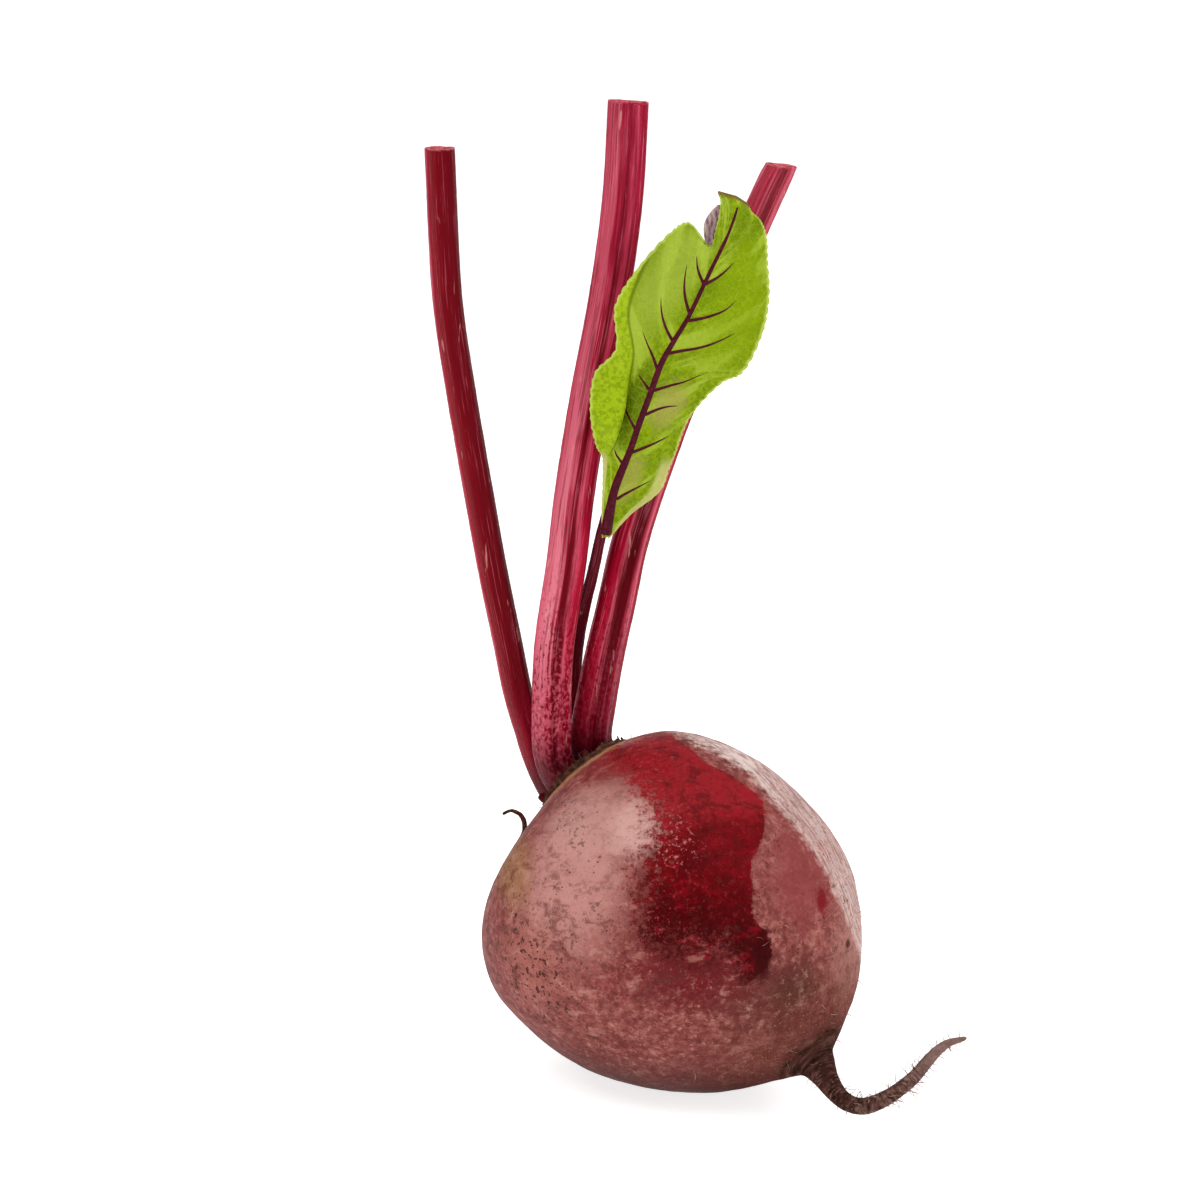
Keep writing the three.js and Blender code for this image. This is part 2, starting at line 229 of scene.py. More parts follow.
# The blade, from its foot to its tip: at each station a place on the midrib, on the left margin,
# which turns over near the middle and is torn near the tip, and on the right margin
BLADE_STATIONS = [
    ((-14.1, 13.6, 102.8), (-14.7, 14.0, 102.5), (-13.5, 14.0, 102.5)),
    ((-13.3, 13.4, 107.6), (-14.8, 14.2, 108.0), (-9.4, 14.2, 107.1)),
    ((-12.4, 13.3, 111.9), (-14.6, 14.2, 113.4), (-3.9, 12.9, 112.0)),
    ((-10.7, 13.2, 116.5), (-14.6, 13.9, 118.1), (-2.4, 12.6, 115.9)),
    ((-9.6, 13.2, 119.2), (-15.8, 12.6, 120.8), (-1.1, 12.8, 119.5)),
    ((-7.7, 13.0, 125.0), (-16.9, 11.6, 127.5), (0.4, 13.4, 123.7)),
    ((-5.8, 12.9, 130.3), (-15.9, 11.8, 134.7), (3.2, 14.6, 127.9)),
    ((-3.8, 12.9, 136.0), (-12.2, 12.8, 138.7), (7.7, 15.6, 132.3)),
    ((-1.4, 13.1, 140.4), (-12.2, 13.0, 147.0), (11.2, 14.4, 134.0)),
    ((1.2, 13.6, 144.6), (-8.3, 14.0, 153.6), (14.9, 13.2, 141.7)),
    ((3.5, 14.1, 149.3), (-1.8, 15.6, 160.4), (16.2, 13.4, 148.8)),
    ((5.5, 14.6, 153.5), (1.4, 16.2, 162.1), (15.9, 14.2, 155.1)),
    ((7.2, 15.1, 156.9), (5.5, 15.4, 157.6), (15.6, 15.2, 159.9)),
    ((8.7, 15.7, 160.0), (6.8, 16.2, 161.6), (14.7, 16.2, 162.3)),
    ((10.6, 18.6, 165.2), (7.4, 19.0, 165.9), (13.0, 18.4, 163.9)),
    ((10.3, 22.0, 166.2), (6.9, 22.3, 167.1), (12.4, 21.6, 164.9)),
]
BLADE_GRID = (72, 180)
BLADE_STEP = (0.03, 0.01)
BLADE_THICKNESS = 0.42
FOLD_DEPTH = 3.0
FOLD_PLACE = 0.35
FOLD_REACH = 0.1
WAVE_HEIGHT = 0.7
WAVE_COUNT = 6
WAVE_LAG = 1.2
CALM_FOOT = 4
CALM_TIP = 6
# The crest in front of the fold, which leans over the valley, and the fine teeth of the margins
CREST = (2.4, -2.2, 0)
CREST_PLACE = 0.35
CREST_REACH = 0.075
CREST_SHARE = (0.62, 0.17)
TEETH = 58
TOOTH_HEIGHT = 0.32
TOOTH_DRIFT = 21
TOOTH_NARROWNESS = 14
# Side veins: for each, places on the blade, across it and along it
VEINS = [
    [(0.10, 0.105), (0.24, 0.120), (0.60, 0.153), (0.96, 0.190)],
    [(0.00, 0.263), (0.50, 0.290), (0.95, 0.325)],
    [(0.03, 0.350), (0.40, 0.378), (0.84, 0.392)],
    [(0.02, 0.408), (0.30, 0.428), (0.56, 0.452), (0.80, 0.512)],
    [(0.00, 0.495), (0.34, 0.545), (0.58, 0.580), (0.80, 0.612)],
    [(0.00, 0.592), (0.28, 0.616), (0.48, 0.640), (0.68, 0.690)],
    [(0.00, 0.690), (0.25, 0.720), (0.50, 0.770)],
    [(0.00, 0.200), (-0.35, 0.230), (-0.70, 0.275)],
    [(-0.02, 0.315), (-0.22, 0.335), (-0.45, 0.365), (-0.62, 0.392)],
    [(0.00, 0.405), (-0.20, 0.420), (-0.42, 0.435)],
    [(0.00, 0.450), (-0.22, 0.478), (-0.42, 0.503), (-0.66, 0.545)],
    [(0.00, 0.530), (-0.22, 0.552), (-0.42, 0.580), (-0.66, 0.628)],
    [(0.00, 0.690), (-0.28, 0.694), (-0.52, 0.722)],
    [(0.00, 0.610), (-0.30, 0.640), (-0.60, 0.690)],
]
VEIN_RADIUS = (0.45, 0.18)
VEIN_STEPS = 14
MIDRIB_STEPS = 60
MIDRIB_REACH = (0.0, 0.93)
MIDRIB_WIDTH = (1.25, 0.40)
MIDRIB_DEPTH = (1.15, 0.30)
MIDRIB_SET_BACK = (0.75, 0.0)

# The edge that rolls over in the tear near the tip
ROLL_PATH = [(6.2, 17.0, 156.2), (5.8, 18.0, 158.8), (5.9, 18.6, 161.6), (7.6, 18.8, 165.0)]
ROLL_SIZE = (0.35, 1.7)
ROLL_STEPS = 20
ROLL_FACING = Vector((0.3, -1, 0))

# The dry ring round the crown
RING_RADIUS = 9.8
RING_DEPTH = 2.3
RING_THICKNESS = 1.1
SCALE_COUNT = 96
SCALE_HEIGHT = (0.7, 1.9)
SCALE_WIDTH = (0.7, 1.7)
FIBRE_COUNT = 90
FIBRE_BENDS = 4
FIBRE_STEPS = 7
FIBRE_SWAY = 0.42
FIBRE_SAG = 0.15
FIBRE_TAPER = 0.8
# Feet of cut leaves: aside and forward of the crown's middle, radius and height, and for shares
# of the height how wide they are
STUBS = [
    (2.4, -6.4, 1.1, 2.0), (-8.2, 3.4, 1.0, 2.4), (2.2, 5.6, 1.2, 2.0), (-5.6, -6.0, 1.1, 2.2),
    (6.6, -4.2, 1.0, 1.8), (5.6, 4.6, 0.9, 1.8), (7.6, 0.6, 0.9, 1.5), (-2.6, -7.4, 0.9, 1.6),
    (-0.6, 1.2, 1.0, 2.2),
]
STUB_PROFILE = [(0, 1.25), (0.3, 1.1), (0.6, 1.0), (0.9, 0.95), (1.0, 0.86)]
STUB_FLATNESS = 0.8
STUB_SINK = 1.2


def bump(x, middle, width):
    return math.exp(-(((x - middle) / width) ** 2))


def mix(first, last, share):
    return first + (last - first) * share


def vectors(rows):
    return [Vector(row) for row in rows]


# Curves

FINE_STEPS = 400


def spline_point(points, share):
    """A point on the centripetal Catmull-Rom curve through the points."""
    last = len(points) - 1
    spot = min(max(share, 0.0), 1.0) * last
    i = min(int(spot), last - 1)
    w = spot - i
    p1, p2 = points[i], points[i + 1]
    p0 = points[i - 1] if i > 0 else 2 * p1 - p2
    p3 = points[i + 2] if i + 2 <= last else 2 * p2 - p1
    d0, d1, d2 = (math.sqrt((b - a).length) for a, b in ((p0, p1), (p1, p2), (p2, p3)))
    t1 = ((p1 - p0) / d0 - (p2 - p0) / (d0 + d1) + (p2 - p1) / d1) * d1
    t2 = ((p2 - p1) / d1 - (p3 - p1) / (d1 + d2) + (p3 - p2) / d2) * d1
    square = (p2 - p1) * 3 - t1 * 2 - t2
    cube = (p1 - p2) * 2 + t1 + t2
    return p1 + t1 * w + square * w**2 + cube * w**3


def even_path(points, count):
    """count + 1 places spaced evenly along the curve, each with its direction."""
    fine = [spline_point(points, i / FINE_STEPS) for i in range(FINE_STEPS + 1)]
    reach = [0.0]
    for a, b in zip(fine, fine[1:]):
        reach.append(reach[-1] + (b - a).length)
    places = []
    i = 0
    for step in range(count + 1):
        goal = reach[-1] * step / count
        while i < len(fine) - 2 and reach[i + 1] < goal:
            i += 1
        span = reach[i + 1] - reach[i]
        places.append(fine[i].lerp(fine[i + 1], (goal - reach[i]) / span))
    directions = []
    for i, place in enumerate(places):
        before = places[max(i - 1, 0)]
        after = places[min(i + 1, count)]
        directions.append((after - before).normalized())
    return list(zip(places, directions))


def frame_at(direction, towards):
    """Axes of a section: towards, made square to the direction, then across, then the direction."""
    first = (towards - direction * towards.dot(direction)).normalized()
    return Matrix((first, direction.cross(first), direction)).transposed()


# Modelling

SMALLEST_TURN = 1e-7


def deselect():
    if bpy.context.object and bpy.context.object.mode != "OBJECT":
        bpy.ops.object.mode_set(mode="OBJECT")
    bpy.ops.object.select_all(action="DESELECT")


def pick(piece):
    deselect()
    piece.select_set(True)
    bpy.context.view_layer.objects.active = piece


def turn_selected(rotation, centre):
    """With no window the operator turns the other way, so each angle is given below zero."""
    for axis, angle in zip("XYZ", rotation.to_euler("XYZ")):
        if abs(angle) > SMALLEST_TURN:
            bpy.ops.transform.rotate(value=-angle, orient_axis=axis, center_override=centre)


def grow(name, stations, section):
    """A skin extruded from station to station. A station is (middle, frame, half sizes), and the
    section is a list of (out, across) for a half size of 1."""
    deselect()
    middle, axes, size = stations[0]
    bpy.ops.mesh.primitive_circle_add(vertices=len(section), radius=MM, fill_type="NGON")
    skin = bpy.context.object
    skin.name = name
    for vertex, (out, across) in zip(skin.data.vertices, section):
        vertex.co = (middle + axes @ Vector((out * size[0], across * size[1], 0))) * MM
    bpy.ops.object.mode_set(mode="EDIT")
    bpy.ops.mesh.select_all(action="SELECT")
    for before, after in zip(stations, stations[1:]):
        middle, axes, size = after
        step = (middle - before[0]) * MM
        bpy.ops.mesh.extrude_region_move(TRANSFORM_OT_translate={"value": step})
        turn_selected(axes @ before[1].transposed(), middle * MM)
        bpy.ops.transform.resize(
            value=(size[0] / before[2][0], size[1] / before[2][1], 1),
            orient_type="GLOBAL",
            orient_matrix=axes,
            orient_matrix_type="GLOBAL",
            center_override=middle * MM,
        )
    bpy.ops.object.mode_set(mode="OBJECT")
    mark_section(skin, len(section), stations)
    return skin


def mark_section(skin, sides, stations):
    """Notes on each vertex which way it lies in its section, and how far along it is."""
    lie = skin.data.attributes.new("lie", "FLOAT_VECTOR", "POINT")
    reach = [0.0]
    for before, after in zip(stations, stations[1:]):
        reach.append(reach[-1] + (after[0] - before[0]).length)
    for i in range(len(skin.data.vertices)):
        ring = min(i // sides, len(stations) - 1)
        turn = 2 * math.pi * (i % sides) / sides
        lie.data[i].vector = (math.cos(turn), math.sin(turn), reach[ring])


def apply(piece, kind, **settings):
    pick(piece)
    modifier = piece.modifiers.new(kind.lower(), kind)
    for key, value in settings.items():
        setattr(modifier, key, value)
    bpy.ops.object.modifier_apply(modifier=modifier.name)


def subdivide(piece, levels):
    apply(piece, "SUBSURF", levels=levels, render_levels=levels)


def roughen(piece, grain, height, depth=2):
    """Raises and lowers the surface by a cloud pattern of that grain and height."""
    pattern = bpy.data.textures.new(piece.name + "_grain", "CLOUDS")
    pattern.noise_scale = grain * MM
    pattern.noise_depth = depth
    apply(
        piece,
        "DISPLACE",
        texture=pattern,
        texture_coords="LOCAL",
        strength=height * MM,
        mid_level=0.5,
    )


def face_outwards(piece):
    pick(piece)
    bpy.ops.object.mode_set(mode="EDIT")
    bpy.ops.mesh.select_all(action="SELECT")
    bpy.ops.mesh.normals_make_consistent(inside=False)
    bpy.ops.object.mode_set(mode="OBJECT")


def smooth(piece, degrees=180):
    pick(piece)
    bpy.ops.object.shade_smooth_by_angle(angle=math.radians(degrees))


def join(name, pieces):
    deselect()
    for piece in pieces:
        piece.select_set(True)
    bpy.context.view_layer.objects.active = pieces[0]
    bpy.ops.object.join()
    pieces[0].name = name
    return pieces[0]


def round_section(sides):
    turns = [2 * math.pi * side / sides for side in range(sides)]
    return [(math.cos(turn), math.sin(turn)) for turn in turns]


# The root


def root_stations():
    outline = vectors(ROOT_OUTLINE)
    axes = frame_at(AXIS, SIDE)
    stations = [(CROWN + AXIS * depth, axes, (size, size)) for depth, size in CROWN_CAP]
    for step in range(ROOT_STEPS + 1):
        distance, radius, shift = spline_point(outline, step / ROOT_STEPS)
        near_crown = max(0.0, 1 - distance / SCAR_REACH)
        size = radius + SCAR_RING * near_crown * math.sin(2 * math.pi * radius / SCAR_PITCH)
        middle = CROWN + AXIS * distance + SIDE * shift
        stations.append((middle, axes, (size, size)))
    for step, (middle, direction) in enumerate(even_path(vectors(TAIL_PATH), TAIL_STEPS)):
        if step == 0:
            continue
        along = step / TAIL_STEPS
        thin = mix(TAIL_MID_RADIUS, TAIL_TIP_RADIUS, along**TAIL_TAPER)
        flare = (TAIL_NECK_RADIUS - TAIL_MID_RADIUS) * math.exp(-along * TAIL_NECK_FADE)
        stations.append((middle, frame_at(direction, SIDE), (thin + flare, thin + flare)))
    middle, axes, _ = stations[-1]
    point = middle + axes.col[2] * TAIL_POINT
    stations.append((point, axes, (TAIL_POINT_RADIUS, TAIL_POINT_RADIUS)))
    return stations


def make_root():
    root = grow("swollen_root", root_stations(), round_section(ROOT_SIDES))
    subdivide(root, 2)
    roughen(root, 14, 0.5)
    roughen(root, 3.0, 0.16)
    pick(root)
    bpy.ops.object.mode_set(mode="EDIT")
    bpy.ops.mesh.select_all(action="SELECT")
    bpy.ops.mesh.bisect(
        plane_co=(0, 0, 0), plane_no=(0, 0, -1), clear_outer=True, use_fill=True, threshold=1e-6
    )
    bpy.ops.object.mode_set(mode="OBJECT")
    face_outwards(root)
    smooth(root, 40)
    return root


def make_rootlet():
    places = even_path(vectors(ROOTLET_PATH), ROOTLET_STEPS)
    stations = []
    for i, (middle, direction) in enumerate(places):
        size = mix(*ROOTLET_RADIUS, i / ROOTLET_STEPS)
        stations.append((middle, frame_at(direction, SIDE), (size, size)))
    rootlet = grow("shoulder_rootlet", stations, round_section(10))
    subdivide(rootlet, 1)
    roughen(rootlet, 0.8, 0.25)
    face_outwards(rootlet)
    smooth(rootlet)
    return rootlet


# Stems


def stem_section(ridges):
    section = []
    for side in range(STEM_SIDES):
        turn = 2 * math.pi * side / STEM_SIDES
        out, across = math.cos(turn), math.sin(turn)
        size = 1.0
        for place, height, width in ridges:
            apart = (math.degrees(turn) - place + 180) % 360 - 180
            size += height * math.exp(-((apart / width) ** 2))
        channel = 1 - CHANNEL_DEPTH * bump(across, 0, CHANNEL_WIDTH) if out < 0 else 1.0
        section.append((out * size * channel, across * size))
    return section


def stem_stations(stem):
    sunk = [
        CROWN + AXIS * depth + SIDE * stem["stand"][0] + FRONT * stem["stand"][1]
        for depth in (FOOT_DEPTH, 0)
    ]
    places = even_path(sunk + vectors(stem["path"]), STEM_STEPS)
    away = Vector(stem["back"])
    stations = []
    for i, (middle, direction) in enumerate(places):
        slimmed = math.sqrt(i / STEM_STEPS)
        size = tuple(mix(foot, top, slimmed) for foot, top in zip(stem["foot"], stem["top"]))
        stations.append((middle, frame_at(direction, away), size))
    return stations


def make_stem(name, stem, ridges, cut=True):
    stations = stem_stations(stem)
    if cut:
        middle, axes, size = stations[-1]
        if "cut" in stem:
            axes = frame_at(Vector(stem["cut"]).normalized(), Vector(stem["back"]))
        stations[-1] = (middle - axes.col[2] * CUT_EDGE, axes, size)
        stations.append((middle - axes.col[2] * 0.05, axes, (size[0] * 0.985, size[1] * 0.985)))
    skin = grow(name, stations, stem_section(ridges))
    if cut:
        open_cut(skin, stations)
    subdivide(skin, 2)
    roughen(skin, 1.6, 0.10)
    face_outwards(skin)
    smooth(skin, 50)
    return skin


def open_cut(skin, stations):
    """The cut top: a thin rim, with the pith sunk a little inside it."""
    count = len(skin.data.vertices)
    direction = stations[-1][1].col[2]
    pick(skin)
    bpy.ops.object.mode_set(mode="EDIT")
    bpy.ops.mesh.select_all(action="DESELECT")
    bpy.ops.object.mode_set(mode="OBJECT")
    top = max(skin.data.polygons, key=lambda face: (len(face.vertices) > 4, face.center.z))
    top.select = True
    bpy.ops.object.mode_set(mode="EDIT")
    bpy.ops.mesh.select_mode(type="FACE")
    bpy.ops.mesh.inset(thickness=CUT_RIM * MM)
    bpy.ops.mesh.inset(thickness=CUT_RIM * MM)
    bpy.ops.transform.translate(value=direction * -CUT_SINK * MM)
    bpy.ops.mesh.inset(thickness=CUT_RIM * MM)
    bpy.ops.object.mode_set(mode="OBJECT")
    lie = skin.data.attributes["lie"]
    for i in range(count, len(skin.data.vertices)):
        lie.data[i].vector = (0, 0, lie.data[count - 1].vector[2] + 1)


# The leaf


def blade_place(across, along):
    """A place on the middle sheet: across runs from -1 at the left margin to 1 at the right."""
    column = 1 if across < 0 else 2
    share = abs(across)
    middle = spline_point([Vector(row[0]) for row in BLADE_STATIONS], along)
    margin = spline_point([Vector(row[column]) for row in BLADE_STATIONS], along)
    place = middle.lerp(margin, share)
    wave = math.sin(2 * math.pi * WAVE_COUNT * along + (WAVE_LAG if across < 0 else 0))
    calm = min(1, CALM_FOOT * along, CALM_TIP * (1 - along))
    place.y += WAVE_HEIGHT * wave * share**2 * calm
    if across < 0:
        fold = FOLD_DEPTH * bump(along, FOLD_PLACE, FOLD_REACH)
        place.y += fold * math.sin(math.pi * share) ** 2
        crest = bump(along, CREST_PLACE, CREST_REACH) * bump(share, *CREST_SHARE)
        place += Vector(CREST) * crest
    beat = TEETH * math.pi * along + math.sin(TOOTH_DRIFT * along)
    tooth = abs(math.sin(beat)) * share**TOOTH_NARROWNESS * calm
    place += (margin - middle).normalized() * TOOTH_HEIGHT * tooth
    return place


def blade_frame(across, along):
    """A place on the sheet, with the way along it and the way out of it."""
    place = blade_place(across, along)
    wide, long = BLADE_STEP
    ahead = blade_place(across, min(along + long, 1)) - blade_place(across, max(along - long, 0))
    aside = blade_place(min(across + wide, 1), along) - blade_place(max(across - wide, -1), along)
    return place, ahead.normalized(), ahead.cross(aside).normalized()


def make_blade():
    deselect()
    bpy.ops.mesh.primitive_grid_add(
        x_subdivisions=BLADE_GRID[0], y_subdivisions=BLADE_GRID[1], size=2
    )
    blade = bpy.context.object
    blade.name = "green_blade"
    for vertex in blade.data.vertices:
        across, along = vertex.co.x, (vertex.co.y + 1) / 2
        vertex.co = blade_place(across, along) * MM
    apply(blade, "SOLIDIFY", thickness=BLADE_THICKNESS * MM, offset=0, use_even_offset=False)
    face_outwards(blade)
    smooth(blade, 60)
    return blade


def make_vein(rows):
    """A side vein sunk into the sheet, so that it stands out on both faces."""
    points = [Vector((across, along, 0)) for across, along in rows]
    places = []
    for step in range(VEIN_STEPS + 1):
        across, along, _ = spline_point(points, step / VEIN_STEPS)
        places.append(blade_frame(across, along))
    stations = []
    for i, (place, _, out) in enumerate(places):
        before, after = places[max(i - 1, 0)][0], places[min(i + 1, VEIN_STEPS)][0]
        size = mix(*VEIN_RADIUS, i / VEIN_STEPS)
        stations.append((place, frame_at((after - before).normalized(), out), (size, size)))
    return grow("vein", stations, round_section(8))


def make_midrib():
    stations = []
    for i in range(MIDRIB_STEPS + 1):
        share = i / MIDRIB_STEPS
        place, ahead, out = blade_frame(0, mix(*MIDRIB_REACH, share))
        out = out if out.y > 0 else -out
        place = place + out * mix(*MIDRIB_SET_BACK, math.sqrt(share))
        slim = share**0.7
        size = (mix(*MIDRIB_DEPTH, slim), mix(*MIDRIB_WIDTH, slim))
        stations.append((place, frame_at(ahead, out), size))
    return grow("midrib", stations, round_section(16))


def make_veins():
    veins = [make_midrib()] + [make_vein(rows) for rows in VEINS]
    ribs = join("blade_veins", veins)
    subdivide(ribs, 1)
    face_outwards(ribs)
    smooth(ribs)
    return ribs


def make_rolled_edge():
    """A flap that is narrow at both ends and widest in the middle."""
    places = even_path(vectors(ROLL_PATH), ROLL_STEPS)
    stations = []
    for i, (middle, direction) in enumerate(places):
        swell = 0.25 + 0.75 * math.sin(math.pi * (i + 1) / (ROLL_STEPS + 2)) ** 0.6
        size = (ROLL_SIZE[0] * swell, ROLL_SIZE[1] * swell)
        stations.append((middle, frame_at(direction, ROLL_FACING), size))
    roll = grow("rolled_edge", stations, round_section(16))
    subdivide(roll, 1)
    roughen(roll, 1.2, 0.3)
    face_outwards(roll)
    smooth(roll)
    return roll


# The crown


OUTWARDS = -AXIS
AROUND = OUTWARDS.cross(SIDE)


def crown_place(aside, forward, lift):
    """A place over the crown: aside along SIDE and forward along FRONT, lifted off its surface."""
    radius = math.hypot(aside, forward)
    shoulder = ROOT_OUTLINE[:5]
    i = next(i for i in range(1, 5) if shoulder[i][1] > radius)
    low, high = shoulder[i - 1], shoulder[i]
    share = max(0.0, (radius - low[1]) / (high[1] - low[1]))
    depth = mix(low[0], high[0], share)
    return CROWN + AXIS * (depth - lift) + SIDE * aside + FRONT * forward


def make_scale(height, width):
    """One dry scale: a curled flake that narrows to its tip, standing on its foot."""
    deselect()
    bpy.ops.mesh.primitive_grid_add(x_subdivisions=3, y_subdivisions=5, size=2)
    flake = bpy.context.object
    for vertex in flake.data.vertices:
        side, up = vertex.co.x, (vertex.co.y + 1) / 2
        narrowed = (1 - up**1.6) * (1 - 0.3 * abs(side) * up) + 0.04
        curl = 0.30 * up**2 + 0.16 * (1 - side**2) * (1 - up)
        vertex.co = Vector((side * width / 2 * narrowed, curl * height, up * height)) * MM
    apply(flake, "SOLIDIFY", thickness=0.16 * MM, offset=0)
    return flake


def stand(piece, middle, out, towards, turn, lean):
    """Stands a piece on a place, leaning, with its place in its mesh."""
    side = towards.cross(out).normalized()
    ahead = out.cross(side)
    axes = Matrix((side, ahead, out)).transposed()
    rolled = Matrix.Rotation(turn, 3, "Z") @ Matrix.Rotation(lean, 3, "X")
    piece.data.transform((axes @ rolled).to_4x4())
    piece.data.transform(Matrix.Translation(middle * MM))


def copy_of(piece, name):
    """A copy with its own mesh."""
    deselect()
    copy = piece.copy()
    copy.data = piece.data.copy()
    copy.name = name
    bpy.context.collection.objects.link(copy)
    return copy


def make_crown_ring():
    draw = random.Random(11)
    deselect()
    axes = Matrix((SIDE, AROUND, OUTWARDS)).transposed().to_4x4()
    middle = CROWN + AXIS * RING_DEPTH
    bpy.ops.mesh.primitive_torus_add(
        major_radius=RING_RADIUS * MM, minor_radius=RING_THICKNESS * MM,
        major_segments=150, minor_segments=14,
    )
    ring = bpy.context.object
    ring.data.transform(Matrix.Translation(middle * MM) @ axes)
    roughen(ring, 1.4, 0.9, 3)
    model = make_scale(1.0, 1.0)
    parts = [ring]
    for i in range(SCALE_COUNT):
        turn = 2 * math.pi * (i + draw.random()) / SCALE_COUNT
        radius = RING_RADIUS + draw.uniform(-1.7, 0.9)
        outward = SIDE * math.cos(turn) + AROUND * math.sin(turn)
        flake = copy_of(model, "scale")
        height, width = draw.uniform(*SCALE_HEIGHT), draw.uniform(*SCALE_WIDTH)
        flake.data.transform(Matrix.Diagonal((width, height, height, 1)))
        foot = middle + outward * radius + OUTWARDS * draw.uniform(-0.4, 0.4)
        stand(flake, foot, OUTWARDS, outward, draw.uniform(-0.6, 0.6), draw.uniform(-0.5, 0.5))
        parts.append(flake)
    bpy.data.objects.remove(model)
    crown = join("crown_fringe", parts)
    smooth(crown, 50)
    return crown


def make_fibre(foot, heading, length, radius, draw, sides=5):
    """A curly fibre or hair from a foot, tapered to its tip."""
    points = [foot]
    way = heading.normalized()
    for _ in range(FIBRE_BENDS):
        sway = Vector((draw.uniform(-1, 1), draw.uniform(-1, 1), draw.uniform(-1, 1) - FIBRE_SAG))
        way = (way + sway * FIBRE_SWAY).normalized()
        points.append(points[-1] + way * length / FIBRE_BENDS)
    stations = []
    for i, (place, direction) in enumerate(even_path(points, FIBRE_STEPS)):
        size = radius * (1 - FIBRE_TAPER * i / FIBRE_STEPS)
        stations.append((place, frame_at(direction, Vector((0.31, 0.52, 0.79))), (size, size)))
    return grow("fibre", stations, round_section(sides))


def make_crown_fibres():
    draw = random.Random(23)
    fibres = []
    for _ in range(FIBRE_COUNT):
        turn = draw.uniform(0, 2 * math.pi)
        radius = draw.uniform(8.2, 10.6)
        aside, forward = radius * math.cos(turn), radius * math.sin(turn)
        outward = SIDE * math.cos(turn) + FRONT * math.sin(turn)
        foot = crown_place(aside, forward, -0.2)
        heading = OUTWARDS + outward * draw.uniform(-0.5, 1.0)
        length, thickness = draw.uniform(1.2, 3.0), draw.uniform(0.06, 0.12)
        fibres.append(make_fibre(foot, heading, length, thickness, draw))
    threads = join("crown_fibres", fibres)
    face_outwards(threads)
    smooth(threads)
    return threads


def make_stubs():
    """The feet of small leaves that were cut off short."""
    stubs = []
    for aside, forward, radius, height in STUBS:
        lean = (SIDE * aside + FRONT * forward) * 0.035
        foot = crown_place(aside, forward, -STUB_SINK)
        heading = (OUTWARDS + lean).normalized()
        reach = height + STUB_SINK
        stations = []
        for share, width in STUB_PROFILE:
            size = (radius * width * STUB_FLATNESS, radius * width)
            stations.append((foot + heading * reach * share, frame_at(heading, SIDE), size))
        stubs.append(grow("stub", stations, round_section(14)))
    feet = join("cut_stubs", stubs)
    subdivide(feet, 1)
    roughen(feet, 0.9, 0.35)
    face_outwards(feet)
    smooth(feet, 60)
    return feet


# Root hairs


def within_cad_box(piece):
    low, high = cad_box
    corners = [vertex.co for vertex in piece.data.vertices]
    return all(low[i] <= corner[i] <= high[i] for corner in corners for i in range(3))


def tail_hairs(draw):
    hairs = []
    tail = even_path(vectors(TAIL_PATH), TAIL_STEPS)
    for _ in range(TAIL_HAIRS):
        i = min(int(draw.random() ** 0.8 * TAIL_STEPS), TAIL_STEPS - 1)
        middle, direction = tail[i]
        along = i / TAIL_STEPS
        radius = mix(TAIL_MID_RADIUS, TAIL_TIP_RADIUS, along**TAIL_TAPER)
        axes = frame_at(direction, SIDE)
        turn = draw.uniform(0, 2 * math.pi)
        out = axes.col[0] * math.cos(turn) + axes.col[1] * math.sin(turn)
        heading = out + direction * draw.uniform(0.1, 0.8)
        length = draw.uniform(1.2, 3.8)
        if middle.z + out.z * radius < GROUND_CLEARANCE and heading.z < 0:
            continue
        hairs.append(make_fibre(middle + out * radius * 0.8, heading, length, 0.08, draw, sides=4))
    return hairs


def skin_hairs(draw):
    hairs = []
    for _ in range(SKIN_HAIRS):
        distance = draw.uniform(*SKIN_HAIR_REACH)
        i = next(i for i, row in enumerate(ROOT_OUTLINE) if row[0] > distance)
        low, high = ROOT_OUTLINE[i - 1], ROOT_OUTLINE[i]
        radius = mix(low[1], high[1], (distance - low[0]) / (high[0] - low[0]))
        turn = draw.uniform(0, 2 * math.pi)
        out = SIDE * math.cos(turn) + AXIS.cross(SIDE) * math.sin(turn)
        foot = CROWN + AXIS * distance + SIDE * mix(low[2], high[2], 0.5) + out * (radius - 0.3)
        if foot.z < SKIN_HAIR_HEIGHT:
            continue
        heading = out + AXIS * draw.uniform(0.2, 1.2)
        hairs.append(make_fibre(foot, heading, draw.uniform(1.2, 3.6), 0.07, draw, sides=4))
    return hairs


def make_root_hairs():
    draw = random.Random(5)
    hairs = tail_hairs(draw) + skin_hairs(draw)
    for hair in [hair for hair in hairs if not within_cad_box(hair)]:
        hairs.remove(hair)
        bpy.data.objects.remove(hair)
    fuzz = join("root_hairs", hairs)
    face_outwards(fuzz)
    return fuzz


# Looks


def paint(red, green, blue):
    """A colour as a screen shows it, 0 to 255, as the shader wants it."""
    shares = [value / 255 for value in (red, green, blue)]
    return tuple(s / 12.92 if s <= 0.04045 else ((s + 0.055) / 1.055) ** 2.4 for s in shares)


